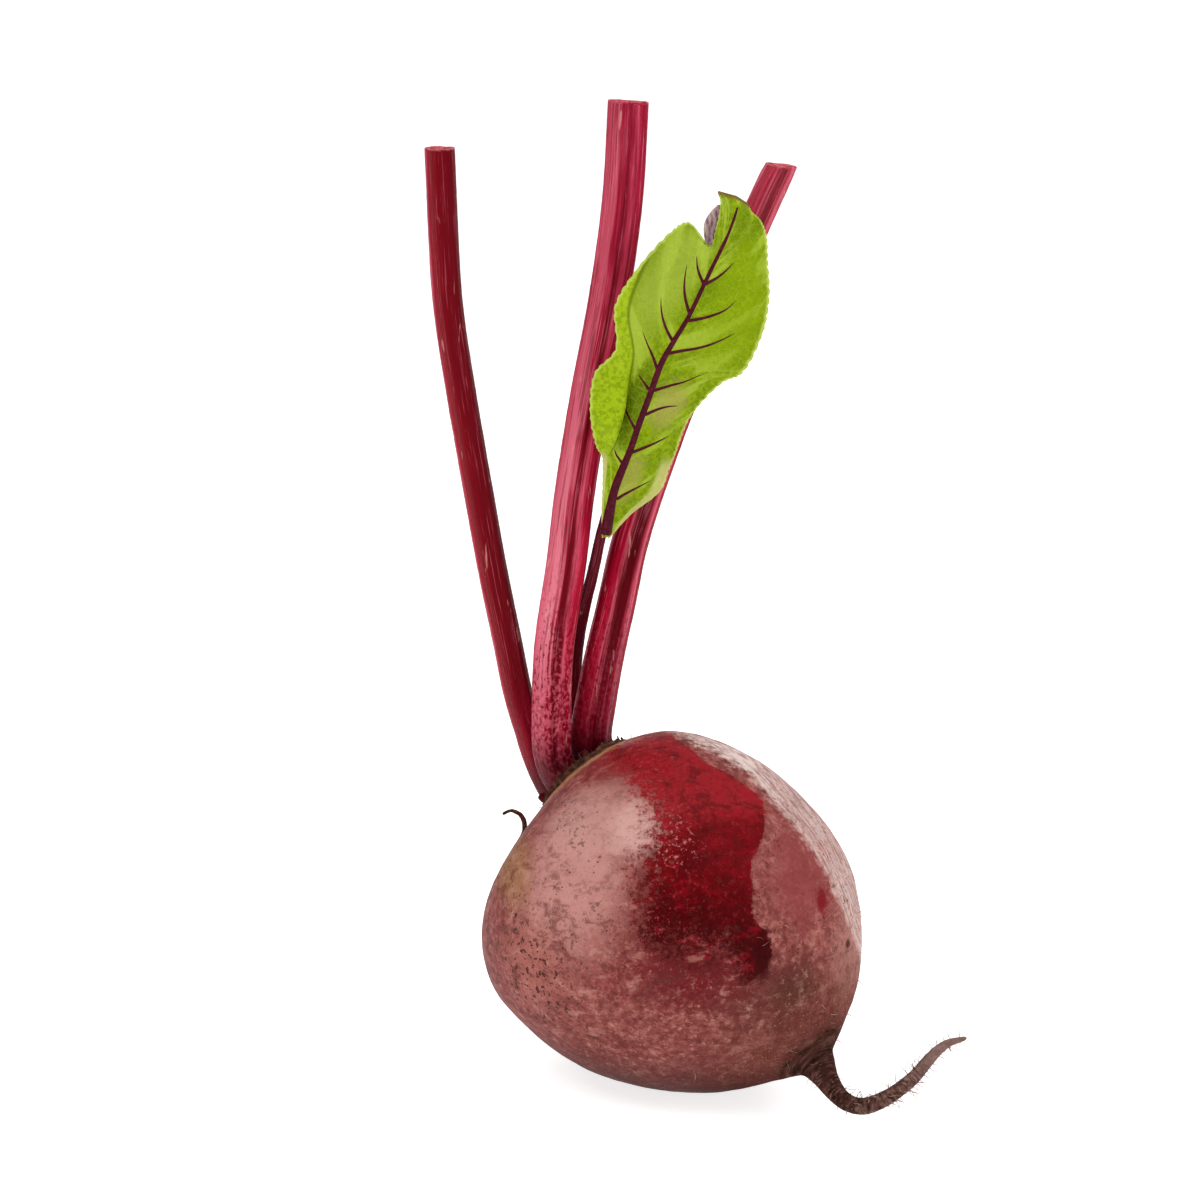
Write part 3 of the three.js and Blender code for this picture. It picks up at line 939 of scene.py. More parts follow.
class Look:
    """A material, with a short call for each kind of node."""

    def __init__(self, name):
        self.material = bpy.data.materials.new(name)
        self.material.use_nodes = True
        self.tree = self.material.node_tree
        self.shader = self.tree.nodes["Principled BSDF"]

    def node(self, kind, **settings):
        node = self.tree.nodes.new("ShaderNode" + kind)
        for key, value in settings.items():
            setattr(node, key, value)
        return node

    def feed(self, socket, value):
        if isinstance(value, bpy.types.NodeSocket):
            self.tree.links.new(value, socket)
        elif socket.type == "RGBA":
            socket.default_value = (*value, 1)
        else:
            socket.default_value = value

    def place(self):
        """Object coordinates in millimetres."""
        coordinates = self.node("TexCoord")
        return self.vector("SCALE", coordinates.outputs["Object"], scale=1000)

    def attribute(self, name):
        return self.node("Attribute", attribute_name=name).outputs["Vector"]

    def part(self, vector, axis):
        split = self.node("SeparateXYZ")
        self.feed(split.inputs[0], vector)
        return split.outputs[axis]

    def together(self, x, y, z):
        join = self.node("CombineXYZ")
        for socket, value in zip(join.inputs, (x, y, z)):
            self.feed(socket, value)
        return join.outputs[0]

    def vector(self, operation, first, second=None, scale=None):
        node = self.node("VectorMath", operation=operation)
        self.feed(node.inputs[0], first)
        if second is not None:
            self.feed(node.inputs[1], second)
        if scale is not None:
            self.feed(node.inputs["Scale"], scale)
        return node.outputs["Value" if operation in ("DOT_PRODUCT", "LENGTH") else "Vector"]

    def number(self, operation, first, second=0.0, clamp=False):
        node = self.node("Math", operation=operation, use_clamp=clamp)
        self.feed(node.inputs[0], first)
        self.feed(node.inputs[1], second)
        return node.outputs[0]

    def times(self, first, second):
        return self.number("MULTIPLY", first, second)

    def plus(self, first, second, clamp=False):
        return self.number("ADD", first, second, clamp)

    def minus(self, first, second, clamp=False):
        return self.number("SUBTRACT", first, second, clamp)

    def cloud(self, where, scale, detail=3.0, rough=0.55, warp=0.0):
        node = self.node("TexNoise")
        self.feed(node.inputs["Vector"], where)
        node.inputs["Scale"].default_value = scale
        node.inputs["Detail"].default_value = detail
        node.inputs["Roughness"].default_value = rough
        node.inputs["Distortion"].default_value = warp
        return node.outputs["Fac"]

    def cells(self, where, scale, feature="F1"):
        node = self.node("TexVoronoi", feature=feature)
        self.feed(node.inputs["Vector"], where)
        node.inputs["Scale"].default_value = scale
        return node.outputs["Distance"]

    def fade(self, value, low, high, bottom=0.0, top=1.0):
        """A soft step from bottom to top as value goes from low to high."""
        node = self.node("MapRange", interpolation_type="SMOOTHSTEP")
        for socket, entry in zip(node.inputs, (value, low, high, bottom, top)):
            self.feed(socket, entry)
        return node.outputs[0]

    def mix(self, share, first, second):
        node = self.node("Mix", data_type="RGBA")
        self.feed(node.inputs["Factor"], share)
        self.feed(node.inputs[6], first)
        self.feed(node.inputs[7], second)
        return node.outputs[2]

    def stops(self, value, entries):
        """A colour band: entries are (place, colour)."""
        node = self.node("ValToRGB")
        self.feed(node.inputs[0], value)
        band = node.color_ramp
        while len(band.elements) < len(entries):
            band.elements.new(1.0)
        for element, (place, colour) in zip(band.elements, entries):
            element.position = place
            element.color = (*colour, 1)
        return node.outputs[0]

    def curve(self, value, points):
        node = self.node("FloatCurve")
        self.feed(node.inputs["Value"], value)
        line = node.mapping.curves[0]
        while len(line.points) < len(points):
            line.points.new(0.5, 0.5)
        for point, (x, y) in zip(line.points, points):
            point.location = (x, y)
        node.mapping.update()
        return node.outputs[0]

    def spot(self, where, centre, radii, strength, waver=None):
        """A soft-edged share that is full round a place on the surface."""
        apart = self.vector("SUBTRACT", where, centre)
        apart = self.vector("DIVIDE", apart, radii)
        apart = self.vector("LENGTH", apart)
        if waver is not None:
            apart = self.plus(apart, self.times(waver, 0.9))
        return self.fade(apart, 0.35, 1.15, strength, 0.0)

    def wash(self, colour, where, centre, radii, shade, strength, waver=None):
        """A soft-edged patch of another shade."""
        return self.mix(self.spot(where, centre, radii, strength, waver), colour, shade)

    def relief(self, height, strength, distance):
        bump_node = self.node("Bump")
        bump_node.inputs["Strength"].default_value = strength
        bump_node.inputs["Distance"].default_value = distance * MM
        self.feed(bump_node.inputs["Height"], height)
        self.feed(self.shader.inputs["Normal"], bump_node.outputs[0])

    def finish(self, colour, roughness, **sockets):
        self.feed(self.shader.inputs["Base Color"], colour)
        self.feed(self.shader.inputs["Roughness"], roughness)
        for key, value in sockets.items():
            self.shader.inputs[key.replace("_", " ")].default_value = value
        return self.material


# Shades of the root's skin
DUSTY = paint(142, 74, 70)
DUSTY_DARK = paint(104, 46, 42)
DUSTY_PALE = paint(172, 108, 100)
CRIMSON = paint(110, 0, 8)
# Painted sheen near the top of the bare patch
CRIMSON_PAINTED_SHEEN = paint(144, 24, 32)
CRIMSON_DEEP = paint(62, 0, 2)
CRIMSON_BRIGHT = paint(152, 6, 30)
# Painted highlight: the pale veil of reflected light on the upper left
PAINTED_VEIL_HIGHLIGHT = paint(208, 160, 152)
OLIVE = paint(160, 118, 76)
SPECK = paint(56, 24, 20)
GRAIN_DARK = paint(96, 40, 38)
GRAIN_PALE = paint(204, 146, 132)
# Painted highlight: the pale band of reflected light over the top right, and its duller streaks
PAINTED_HIGHLIGHT_BAND = paint(224, 204, 197)
PAINTED_HIGHLIGHT_DULL = paint(150, 98, 92)
CORK = paint(84, 54, 38)
CORK_DARK = paint(42, 22, 18)
CORK_PALE = paint(182, 134, 94)
SOIL = paint(70, 36, 28)
BARK_DARK = paint(34, 16, 12)
BARK = paint(66, 38, 30)
TAIL_BROWN = paint(104, 72, 64)
TAIL_PALE = paint(142, 114, 108)
BLOTCH = paint(126, 50, 50)
# Painted shade towards the bottom of the root
LOW_PAINTED_SHADE = paint(92, 38, 34)
# Painted shade on skin that faces the ground
DOWNWARD_PAINTED_SHADE = paint(52, 20, 18)
DUSTED = paint(186, 78, 82)
# Painted highlight: small glints on the bare patch
PAINTED_GLINT = paint(206, 128, 126)
CORK_WARM = paint(120, 84, 58)
NECK_BROWN = paint(84, 44, 36)
NECK_TAN = paint(168, 122, 92)

# The bare patch in front, in the upright plane that faces the camera: for heights from
# PATCH_LOW to PATCH_HIGH, how far to the right its two edges lie
UPWARDS = Vector((0, 0.225, 0.974))
PATCH_LOW = 20
PATCH_HIGH = 68
PATCH_RIGHT = [
    (22.5, 14.2), (25.2, 16.2), (30.0, 15.8), (32.3, 13.6), (38.7, 13.0), (43.4, 13.1),
    (47.3, 14.8), (51.6, 15.6), (53.8, 15.0), (58.0, 10.3), (61.2, 4.5), (63.7, 1.6), (66.1, -2.4),
]
PATCH_LEFT = [
    (22.5, 6.0), (24.0, 0.5), (26.0, -4.8), (28.9, -7.2), (35.7, -7.7), (41.7, -6.8), (47.5, -4.8),
    (51.6, -4.2), (55.5, -7.1), (58.7, -9.5), (61.7, -13.0), (66.0, -14.0),
]
PATCH_SPAN = 20
# The painted highlight, a pale band of reflected light over the top on the right: for places
# to the right, the height that it begins at, in the same plane
HIGHLIGHT_BAND_LEFT = -6
HIGHLIGHT_BAND_RIGHT = 34
HIGHLIGHT_BAND_EDGE = [
    (-6, 67.5), (-2.8, 66.3), (2, 64.2), (6.3, 61.9), (11.9, 58.7), (14.6, 55.8), (20, 49.6),
    (25.4, 42.2), (28.3, 36.6), (34, 22),
]
HIGHLIGHT_BAND_SPAN = 80


def edge_line(look, height, rows):
    """How far to the right an edge of the bare patch lies at each height."""
    reach = PATCH_HIGH - PATCH_LOW
    share = look.number("DIVIDE", look.minus(height, PATCH_LOW), reach)
    points = [
        ((up - PATCH_LOW) / reach, (right + PATCH_SPAN) / (2 * PATCH_SPAN)) for up, right in rows
    ]
    return look.minus(look.times(look.curve(share, points), 2 * PATCH_SPAN), PATCH_SPAN)


# Washes over the dusty skin, some painted light and shade: centre, radii, shade and strength
WASHES = (
    # Painted light on the lit upper left: two pale washes and the pale veil highlight
    ((-20, -24, 46), (13, 13, 17), paint(196, 140, 132), 0.85),
    ((-16, -20, 56), (14, 12, 9), paint(198, 146, 138), 0.8),
    ((-9.0, -23.9, 56.0), (5.5, 8, 6.5), PAINTED_VEIL_HIGHLIGHT, 0.95),
    ((-14, -6, 64.5), (13, 9, 5.5), paint(128, 40, 42), 0.85),
    ((-31, -14, 45), (5, 12, 8), OLIVE, 0.65),
    # Painted light: the lower left made paler, as lit from the left
    ((-27, -22, 28), (10, 12, 12), paint(172, 106, 96), 0.6),
    ((22, -20, 47), (9, 10, 13), paint(138, 62, 62), 0.9),
    # Painted shade: the lower right made darker, away from the light
    ((14, -29, 27), (15, 10, 9), paint(96, 42, 38), 0.8),
    # Painted reflection: a paler rim low on the right
    ((31, -16, 30), (5, 12, 12), paint(166, 112, 102), 0.75),
    ((20.7, -28, 26.5), (6, 7, 5), paint(84, 48, 36), 0.8),
    ((1, -31, 31), (14, 8, 9), paint(104, 22, 28), 0.95),
)
# Marks: the scar low on the right, the dark speck beside it and the dark drip of the bare patch
MARKS = (
    ((26.0, -20.5, 41.4), (1.5, 4, 2.9), paint(118, 10, 18), 0.95),
    ((30.9, -16.9, 31.9), (0.7, 2, 1.2), paint(60, 18, 16), 1.0),
    ((14.6, -31.0, 34.0), (2.0, 5, 6.0), paint(58, 0, 2), 0.95),
)


class Skin(Look):
    """The root's skin, with the measures and patterns that its layers share."""

    def __init__(self):
        super().__init__("root_skin")
        self.where = self.place()
        from_crown = self.vector("SUBTRACT", self.where, CROWN)
        self.down = self.vector("DOT_PRODUCT", from_crown, AXIS)
        self.right = self.part(self.where, "X")
        self.back = self.part(self.where, "Y")
        self.height = self.vector("DOT_PRODUCT", self.where, UPWARDS)
        squeezed = self.vector("MULTIPLY", self.where, (0.8, 1, 1.3))
        self.patchy = self.cloud(squeezed, 0.24, 6, 0.72, 0.5)
        self.mottle = self.cloud(self.where, 0.62, 5, 0.66)
        self.scurf = self.cloud(self.where, 2.0, 4, 0.7)
        self.grain = self.cloud(self.where, 0.95, 6, 0.74)
        self.waver = self.minus(self.mottle, 0.5)

    def sway(self, value, amount):
        """The value, made to waver by that amount."""
        return self.plus(value, self.times(self.waver, amount))


def dusty_skin(skin):
    """Mottled and scurfy skin, paler at the left by painted light and browner below by painted shade.
    """
    where, waver = skin.where, skin.waver
    colour = skin.stops(skin.mottle, [(0.34, DUSTY_DARK), (0.50, DUSTY), (0.68, DUSTY_PALE)])
    blotch = skin.cloud(where, 0.11, 3)
    colour = skin.mix(skin.fade(blotch, 0.45, 0.7, 0, 0.45), colour, BLOTCH)
    for centre, radii, shade, strength in WASHES:
        colour = skin.wash(colour, where, centre, radii, shade, strength, waver)
    # Painted shade: the skin darkens to brown towards the bottom
    below = skin.fade(skin.sway(skin.height, 8), 2, 20, 0.5, 0)
    colour = skin.mix(below, colour, LOW_PAINTED_SHADE)
    calm = skin.plus(
        skin.spot(where, (19, -24, 46), (10, 12, 17), 0.75),
        skin.spot(where, (-13, -20, 54), (17, 15, 13), 0.62, waver),
    )
    rough_part = skin.minus(1, calm, clamp=True)
    for layer, low, high, share, shade in (
        (skin.patchy, 0.49, 0.38, 0.6, GRAIN_DARK),
        (skin.patchy, 0.53, 0.66, 0.4, GRAIN_PALE),
        (skin.grain, 0.46, 0.34, 0.55, GRAIN_DARK),
        (skin.grain, 0.54, 0.66, 0.45, GRAIN_PALE),
        (skin.scurf, 0.42, 0.32, 0.35, GRAIN_DARK),
        (skin.scurf, 0.60, 0.72, 0.3, GRAIN_PALE),
    ):
        touch = skin.times(skin.fade(layer, low, high, 0, share), rough_part)
        colour = skin.mix(touch, colour, shade)
    return colour


def add_painted_highlight_band(skin, colour):
    """Painted highlight over the top right, streaked along its edge and gone behind."""
    right, back = skin.right, skin.back
    reach = HIGHLIGHT_BAND_RIGHT - HIGHLIGHT_BAND_LEFT
    share = skin.number("DIVIDE", skin.minus(right, HIGHLIGHT_BAND_LEFT), reach)
    points = [((x - HIGHLIGHT_BAND_LEFT) / reach, up / HIGHLIGHT_BAND_SPAN) for x, up in HIGHLIGHT_BAND_EDGE]
    over = skin.minus(skin.height, skin.times(skin.curve(share, points), HIGHLIGHT_BAND_SPAN))
    lengthways = skin.together(
        skin.times(over, 1.3), skin.times(right, 0.22), skin.times(back, 0.22)
    )
    streak = skin.cloud(lengthways, 1.0, 5, 0.7)
    highlight = skin.fade(skin.sway(over, 6), -0.3, 1.8)
    for part in (
        skin.fade(streak, 0.34, 0.56, 0.25, 1),
        skin.fade(skin.sway(back, 14), 12, 1),
        skin.fade(right, 21, 11, 0.6, 0.95),
        skin.fade(right, -5, -1),
    ):
        highlight = skin.times(highlight, part)
    dull = skin.times(skin.fade(skin.grain, 0.50, 0.62), skin.fade(right, 10, 20, 0, 0.75))
    return skin.mix(highlight, colour, skin.mix(dull, PAINTED_HIGHLIGHT_BAND, PAINTED_HIGHLIGHT_DULL))


def bare_patch(skin):
    """Where the skin is bare: its right edge is sharp, its left and lower ones are speckled."""
    right, height = skin.right, skin.height
    jagged = skin.times(skin.minus(skin.cloud(skin.where, 0.9, 4), 0.5), 2.0)
    speckle = skin.plus(skin.times(skin.waver, 15), skin.times(skin.minus(skin.grain, 0.5), 30))
    to_right = skin.minus(edge_line(skin, height, PATCH_RIGHT), right)
    to_left = skin.minus(right, edge_line(skin, height, PATCH_LEFT))
    low = skin.plus(height, skin.times(speckle, 1.2))
    low = skin.plus(low, skin.fade(right, 8, 13, 0, 8))
    bare = skin.times(
        skin.fade(skin.plus(to_right, jagged), -0.1, 0.45),
        skin.fade(skin.plus(to_left, speckle), -3.8, 2.4),
    )
    bare = skin.times(bare, skin.fade(low, 20, 31))
    return skin.times(bare, skin.fade(skin.back, 6, 2))


def bare_crimson(skin):
    """Bare patch colour: deeper below, a painted sheen near its top, dusted at its upper left."""
    # Painted sheen: a softer, lighter crimson near the top of the patch
    painted_sheen = skin.fade(skin.sway(skin.height, 10), 48.5, 54.0)
    depth = skin.fade(skin.sway(skin.height, -12), 26, 46)
    colour = skin.mix(depth, CRIMSON_DEEP, CRIMSON)
    colour = skin.mix(painted_sheen, colour, CRIMSON_PAINTED_SHEEN)
    for layer, low, high, shade in (
        (skin.patchy, 0.50, 0.40, CRIMSON_DEEP),
        (skin.patchy, 0.52, 0.64, CRIMSON_BRIGHT),
        (skin.grain, 0.47, 0.36, CRIMSON_DEEP),
    ):
        colour = skin.mix(skin.fade(layer, low, high, 0, 0.5), colour, shade)
    dusted = skin.times(skin.fade(skin.grain, 0.55, 0.66), skin.fade(skin.right, 6, -8, 0.15, 0.6))
    return skin.mix(dusted, colour, DUSTED)


def add_painted_glints(skin, colour):
    """Painted highlights: small glints on the upper left of the bare patch."""
    glints = skin.times(
        skin.fade(skin.cloud(skin.where, 1.15, 3, 0.6), 0.57, 0.64),
        skin.spot(skin.where, (-2.5, -25.5, 54.0), (6.5, 7, 8), 0.6, skin.waver),
    )
    return skin.mix(glints, colour, PAINTED_GLINT)


def add_specks(skin, colour, bare):
    """Dark specks, pits in clusters, ingrained soil, and the few marks that stand out."""
    where, waver = skin.where, skin.waver
    specks = skin.fade(skin.cells(skin.vector("MULTIPLY", where, (1, 1, 1.5)), 0.8), 0.24, 0.10)
    sparse = skin.fade(skin.cloud(where, 0.17, 3), 0.47, 0.60)
    colour = skin.mix(skin.times(specks, skin.times(sparse, 0.85)), colour, SPECK)
    pits = skin.fade(skin.cloud(where, 0.95, 3, 0.62), 0.565, 0.60, 0, 0.9)
    clusters = skin.plus(
        skin.spot(where, (-26, -20, 27), (13, 16, 18), 1.0, waver),
        skin.fade(skin.cloud(where, 0.13, 2), 0.52, 0.66, 0, 0.6),
        clamp=True,
    )
    clusters = skin.times(clusters, skin.minus(1, bare))
    colour = skin.mix(skin.times(pits, clusters), colour, SPECK)
    soil = skin.fade(skin.cloud(where, 0.5, 7, 0.8), 0.575, 0.65, 0, 0.8)
    soil = skin.times(soil, skin.fade(skin.height, 54, 34, 0.2, 1))
    colour = skin.mix(soil, colour, SOIL)
    for centre, radii, shade, strength in MARKS:
        colour = skin.wash(colour, where, centre, radii, shade, strength, waver)
    return colour


def bark_wrinkles(skin):
    """Wrinkles that run round the tail."""
    lie = skin.attribute("lie")
    out, across, along = (skin.part(lie, axis) for axis in "XYZ")
    wound = skin.together(skin.times(along, 1.5), out, across)
    return skin.cloud(wound, 0.9, 4, 0.68, 0.4), along


def add_cork_and_bark(skin, colour, wrinkle, along):
    """Cork on the crown and the shoulder, brown skin on the neck and bark on the tail."""
    ragged = skin.sway(skin.down, 6)
    colour = skin.mix(skin.fade(ragged, 5.0, 6.2, 0.75, 0), colour, CORK_PALE)
    cork = skin.stops(skin.scurf, [(0.3, CORK_DARK), (0.55, CORK), (0.75, CORK_WARM)])
    colour = skin.mix(skin.fade(ragged, 3.0, 5.0, 1, 0), colour, cork)
    bark = skin.stops(wrinkle, [(0.36, BARK_DARK), (0.52, BARK), (0.70, TAIL_BROWN)])
    thin = skin.stops(wrinkle, [(0.34, BARK_DARK), (0.50, TAIL_BROWN), (0.66, TAIL_PALE)])
    bark = skin.mix(skin.fade(along, 80, 104), bark, thin)
    bark = skin.mix(skin.fade(along, 96, 108, 0, 0.6), bark, TAIL_PALE)
    colour = skin.mix(skin.fade(ragged, 58, 72, 0, 0.6), colour, NECK_BROWN)
    tan = skin.times(skin.fade(skin.scurf, 0.57, 0.66), skin.fade(ragged, 62, 68))
    colour = skin.mix(skin.times(tan, 0.5), colour, NECK_TAN)
    return skin.mix(skin.fade(ragged, 70.0, 72.5), colour, bark)


def paint_underside_shade(skin, colour):
    """Painted shade on the skin that faces the ground."""
    facing = skin.node("TexCoord").outputs["Normal"]
    # Painted shade: darker where the surface faces down
    underside_shade = skin.fade(skin.part(facing, "Z"), -0.55, -0.92, 0, 0.75)
    underside_shade = skin.times(underside_shade, skin.fade(skin.down, 74, 68))
    return skin.mix(underside_shade, colour, DOWNWARD_PAINTED_SHADE)


def root_look():
    skin = Skin()
    bare = bare_patch(skin)
    wrinkle, along = bark_wrinkles(skin)
    # Painted highlight band over the top right
    colour = add_painted_highlight_band(skin, dusty_skin(skin))
    colour = skin.mix(bare, colour, bare_crimson(skin))
    # Painted glints on the upper left of the bare patch
    colour = add_painted_glints(skin, colour)
    colour = add_specks(skin, colour, bare)
    colour = add_cork_and_bark(skin, colour, wrinkle, along)
    colour = paint_underside_shade(skin, colour)

    roughness = skin.plus(skin.fade(bare, 0, 1, 0.5, 0.2), skin.fade(skin.down, 62, 70, 0, 0.4))
    pores = skin.fade(skin.cells(skin.where, 1.5), 0.05, 0.4)
    height = skin.plus(skin.times(skin.scurf, 0.9), skin.times(pores, 0.35))
    height = skin.plus(height, skin.times(skin.grain, 1.3))
    height = skin.plus(height, skin.times(wrinkle, skin.fade(skin.down, 66, 71, 0, 2.2)))
    skin.relief(height, 0.55, 0.45)
    return skin.finish(colour, skin.sway(roughness, 0.25), Specular_IOR_Level=0.035)


# The grain of a stem: how fine its streaks are round it and along it
STREAK_ROUND = 2.6
STREAK_ALONG = 0.022
FINER = 3.2
FURROW = paint(96, 0, 14)
# Painted glints along the ridges of the stems
PAINTED_STREAK_GLINT = paint(226, 116, 138)
FOOT_RED = paint(138, 2, 34)
# Painted shade at the foot of a stem, in the crown
FOOT_PAINTED_SHADE = paint(64, 4, 10)
BUMP_PINK = paint(218, 106, 126)
PIT_RED = paint(104, 2, 22)
SCUFF = paint(214, 150, 140)
PITH_RED = paint(150, 30, 50)
PITH_PALE = paint(214, 112, 118)


def stem_bands(look, bands, turn, along, fibre, seed):
    """Bands of colour round the stem, which waver and drift a little on their way up."""
    drift = look.cloud(look.together(look.times(along, 0.06), seed, 0.0), 1.0, 2)
    waver = look.times(look.minus(fibre, 0.5), 34)
    waver = look.plus(waver, look.times(look.minus(drift, 0.5), 24))
    share = look.number("DIVIDE", look.plus(look.plus(turn, waver), 180), 360)
    return look.stops(share, [((degrees + 180) / 360, shade) for degrees, shade in bands])


def add_foot(look, colour, along, bumpy, bumpiness):
    """The foot is a deeper red, with pale bumps and dark pits, and painted shade where it enters the
    crown.
    """
    colour = look.mix(look.fade(along, 34, 16, 0, 0.6), colour, FOOT_RED)
    bumps = look.times(look.fade(bumpy, 0.50, 0.57, 0, 0.7), look.fade(along, 40, 20))
    colour = look.mix(look.times(bumps, bumpiness), colour, BUMP_PINK)
    pits = look.times(look.fade(bumpy, 0.44, 0.38, 0, 0.8), look.fade(along, 52, 26))
    colour = look.mix(pits, colour, PIT_RED)
    # Painted shade where the stem goes down into the crown
    return look.mix(look.fade(along, 16, 7, 0, 0.8), colour, FOOT_PAINTED_SHADE)


def stem_look(name, bands, seed, upper=None, pale=0.5, bumpiness=0.0):
    """Bands of colour, partly painted highlight and shade, by the turn from the middle of the back,
    in degrees, with fine dark streaks and painted glints along the stem, pits near its foot and pale
    pith in its cut top. Between the two heights of upper, that share of another shade comes in.
    pale is the share of the painted glints, and bumpiness that of the pale bumps near the foot."""
    look = Look(name)
    where = look.place()
    lie = look.attribute("lie")
    out, across, along = (look.part(lie, axis) for axis in "XYZ")
    turn = look.number("DEGREES", look.number("ARCTAN2", across, out))
    round_place = look.together(
        look.times(out, STREAK_ROUND), look.times(across, STREAK_ROUND),
        look.times(along, STREAK_ALONG),
    )
    round_place = look.vector("ADD", round_place, (seed, seed, seed))
    fibre = look.cloud(round_place, 1.0, 4, 0.6)
    fine = look.cloud(look.vector("SCALE", round_place, scale=FINER), 1.0, 4, 0.65)
    colour = stem_bands(look, bands, turn, along, fibre, seed)
    if upper:
        begins, ends, faded, upper_shade = upper
        colour = look.mix(look.fade(along, begins, ends, 0, faded), colour, upper_shade)
    colour = look.mix(look.fade(fine, 0.50, 0.60, 0, 0.55), colour, FURROW)
    # Painted glints: fine pale streaks along the ridges
    colour = look.mix(look.fade(fine, 0.44, 0.33, 0, pale), colour, PAINTED_STREAK_GLINT)
    bumpy = look.cloud(look.vector("MULTIPLY", where, (1, 1, 0.7)), 1.5, 3, 0.6)
    colour = add_foot(look, colour, along, bumpy, bumpiness)
    scuff = look.cloud(look.vector("MULTIPLY", where, (1, 1, 0.12)), 0.8, 3)
    colour = look.mix(look.fade(scuff, 0.66, 0.72, 0, 0.5), colour, SCUFF)
    cut = look.fade(look.vector("LENGTH", look.together(out, across, 0.0)), 0.25, 0.85, 1, 0)
    pith = look.stops(look.cloud(where, 1.3, 3), [(0.35, PITH_RED), (0.6, PITH_PALE)])
    colour = look.mix(cut, colour, pith)
    height = look.plus(fine, look.times(fibre, 0.6))
    height = look.plus(height, look.times(bumpy, look.fade(along, 52, 26, 0, 1.6)))
    look.relief(height, 0.5, 0.3)
    return look.finish(colour, 0.36, Specular_IOR_Level=0.05)


PINK = paint(206, 82, 104)
PINK_PALE = paint(220, 118, 134)
STEM_RED = paint(156, 2, 36)
STEM_BRIGHT = paint(180, 8, 50)
STEM_DARK_RED = paint(108, 2, 16)
# Painted shade: dark at a stem's shaded right edge and in the right stem's furrow
STEM_PAINTED_SHADE = paint(74, 0, 12)
ROSE = paint(160, 44, 66)
# Bands are partly the stems' own colour and partly painted light: the rose and pink bands at each
# stem's left edge (left -56 to -48, centre -84 to -68, right -100 to -84) are painted highlights, and
# the darker bands at the right edge (left 30 to 104, centre 94, right 60) and in the right stem's
# furrow (-6) are painted shade.
BANDS = {
    "left": [
        (-180, STEM_RED), (-120, STEM_DARK_RED), (-74, STEM_RED), (-56, ROSE), (-48, PINK),
        (-38, STEM_RED), (-14, paint(124, 2, 20)), (30, paint(106, 0, 12)), (62, paint(96, 0, 12)),
        (104, paint(80, 0, 10)), (140, STEM_DARK_RED), (180, STEM_RED),
    ],
    "centre": [
        (-180, STEM_RED), (-120, STEM_DARK_RED), (-84, ROSE), (-68, PINK), (-20, PINK_PALE),
        (-2, PINK_PALE), (6, STEM_RED), (14, STEM_DARK_RED), (32, STEM_DARK_RED), (40, PINK),
        (48, STEM_BRIGHT), (80, STEM_RED), (94, STEM_PAINTED_SHADE), (140, STEM_DARK_RED), (180, STEM_RED),
    ],
    "right": [
        (-180, STEM_RED), (-130, STEM_DARK_RED), (-100, PINK), (-84, PINK_PALE), (-76, STEM_DARK_RED),
        (-54, STEM_RED), (-34, STEM_BRIGHT), (-27, PINK), (-20, STEM_DARK_RED), (-6, STEM_PAINTED_SHADE),
        (8, STEM_DARK_RED), (16, ROSE), (34, PINK), (46, STEM_RED), (60, STEM_DARK_RED),
        (180, STEM_RED),
    ],
    # The stalk's dark reds are partly its own colour and partly painted shade, from the shadow
    # between the centre and right stems; the stubs take these colours too
    "stalk": [
        (-180, paint(92, 16, 30)), (-60, paint(70, 4, 20)), (0, paint(56, 2, 16)),
        (60, paint(70, 4, 20)), (180, paint(92, 16, 30)),
    ],
}

# Where each stem changes shade on its way up: from and to which height, by how much, to what
UPPER = {
    "left": (50, 120, 0.3, paint(110, 2, 18)),
    "centre": (30, 110, 0.7, paint(158, 30, 58)),
    "right": (84, 112, 0.55, paint(186, 70, 88)),
}
# How much painted glint each stem has
GLINT_SHARES = {"left": 0.22, "centre": 0.45, "right": 0.4}
BUMPINESS = {"left": 0.0, "centre": 0.7, "right": 0.12}

LEAF = paint(134, 158, 4)
LEAF_DARK = paint(104, 128, 2)
# Painted sheen on the blade between the veins
LEAF_PAINTED_SHEEN = paint(164, 186, 58)
# Painted light on the lobe that turns over on the left
LEAF_LOBE_LIT = paint(158, 184, 22)
# Painted shade in the valley and the crease beside the lobe
LEAF_VALLEY_SHADE = paint(84, 104, 2)
LEAF_EDGE = paint(186, 200, 92)
LEAF_OCHRE = paint(160, 152, 76)
LEAF_BROWN = paint(112, 78, 34)
LEAF_NET = paint(152, 174, 52)
LEAF_LOW_RIM = paint(200, 196, 120)
# The lobe that turns over on the left: its height, how fast its edge runs out to the margin
LOBE_MIDDLE = 0.36
LOBE_SLOPE = 2.2
# Washes over the leaf, on its own sheet: centre across and along it, radii, shade and strength
LEAF_WASHES = (
    # Painted sheen on the upper left of the blade
    ((0.22, 0.66, 0), (0.24, 0.20, 1), paint(166, 184, 68), 0.55),
    ((0.72, 0.86, 0), (0.24, 0.12, 1), paint(104, 128, 2), 0.7),
    ((0.80, 0.66, 0), (0.22, 0.20, 1), paint(132, 158, 4), 0.6),
    ((0.72, 0.38, 0), (0.20, 0.07, 1), LEAF_OCHRE, 0.75),
    ((0.62, 0.17, 0), (0.16, 0.10, 1), LEAF_OCHRE, 0.6),
    # Painted shade in the valley beside the lobe
    ((0.41, 0.36, 0), (0.12, 0.14, 1), LEAF_VALLEY_SHADE, 0.9),
)


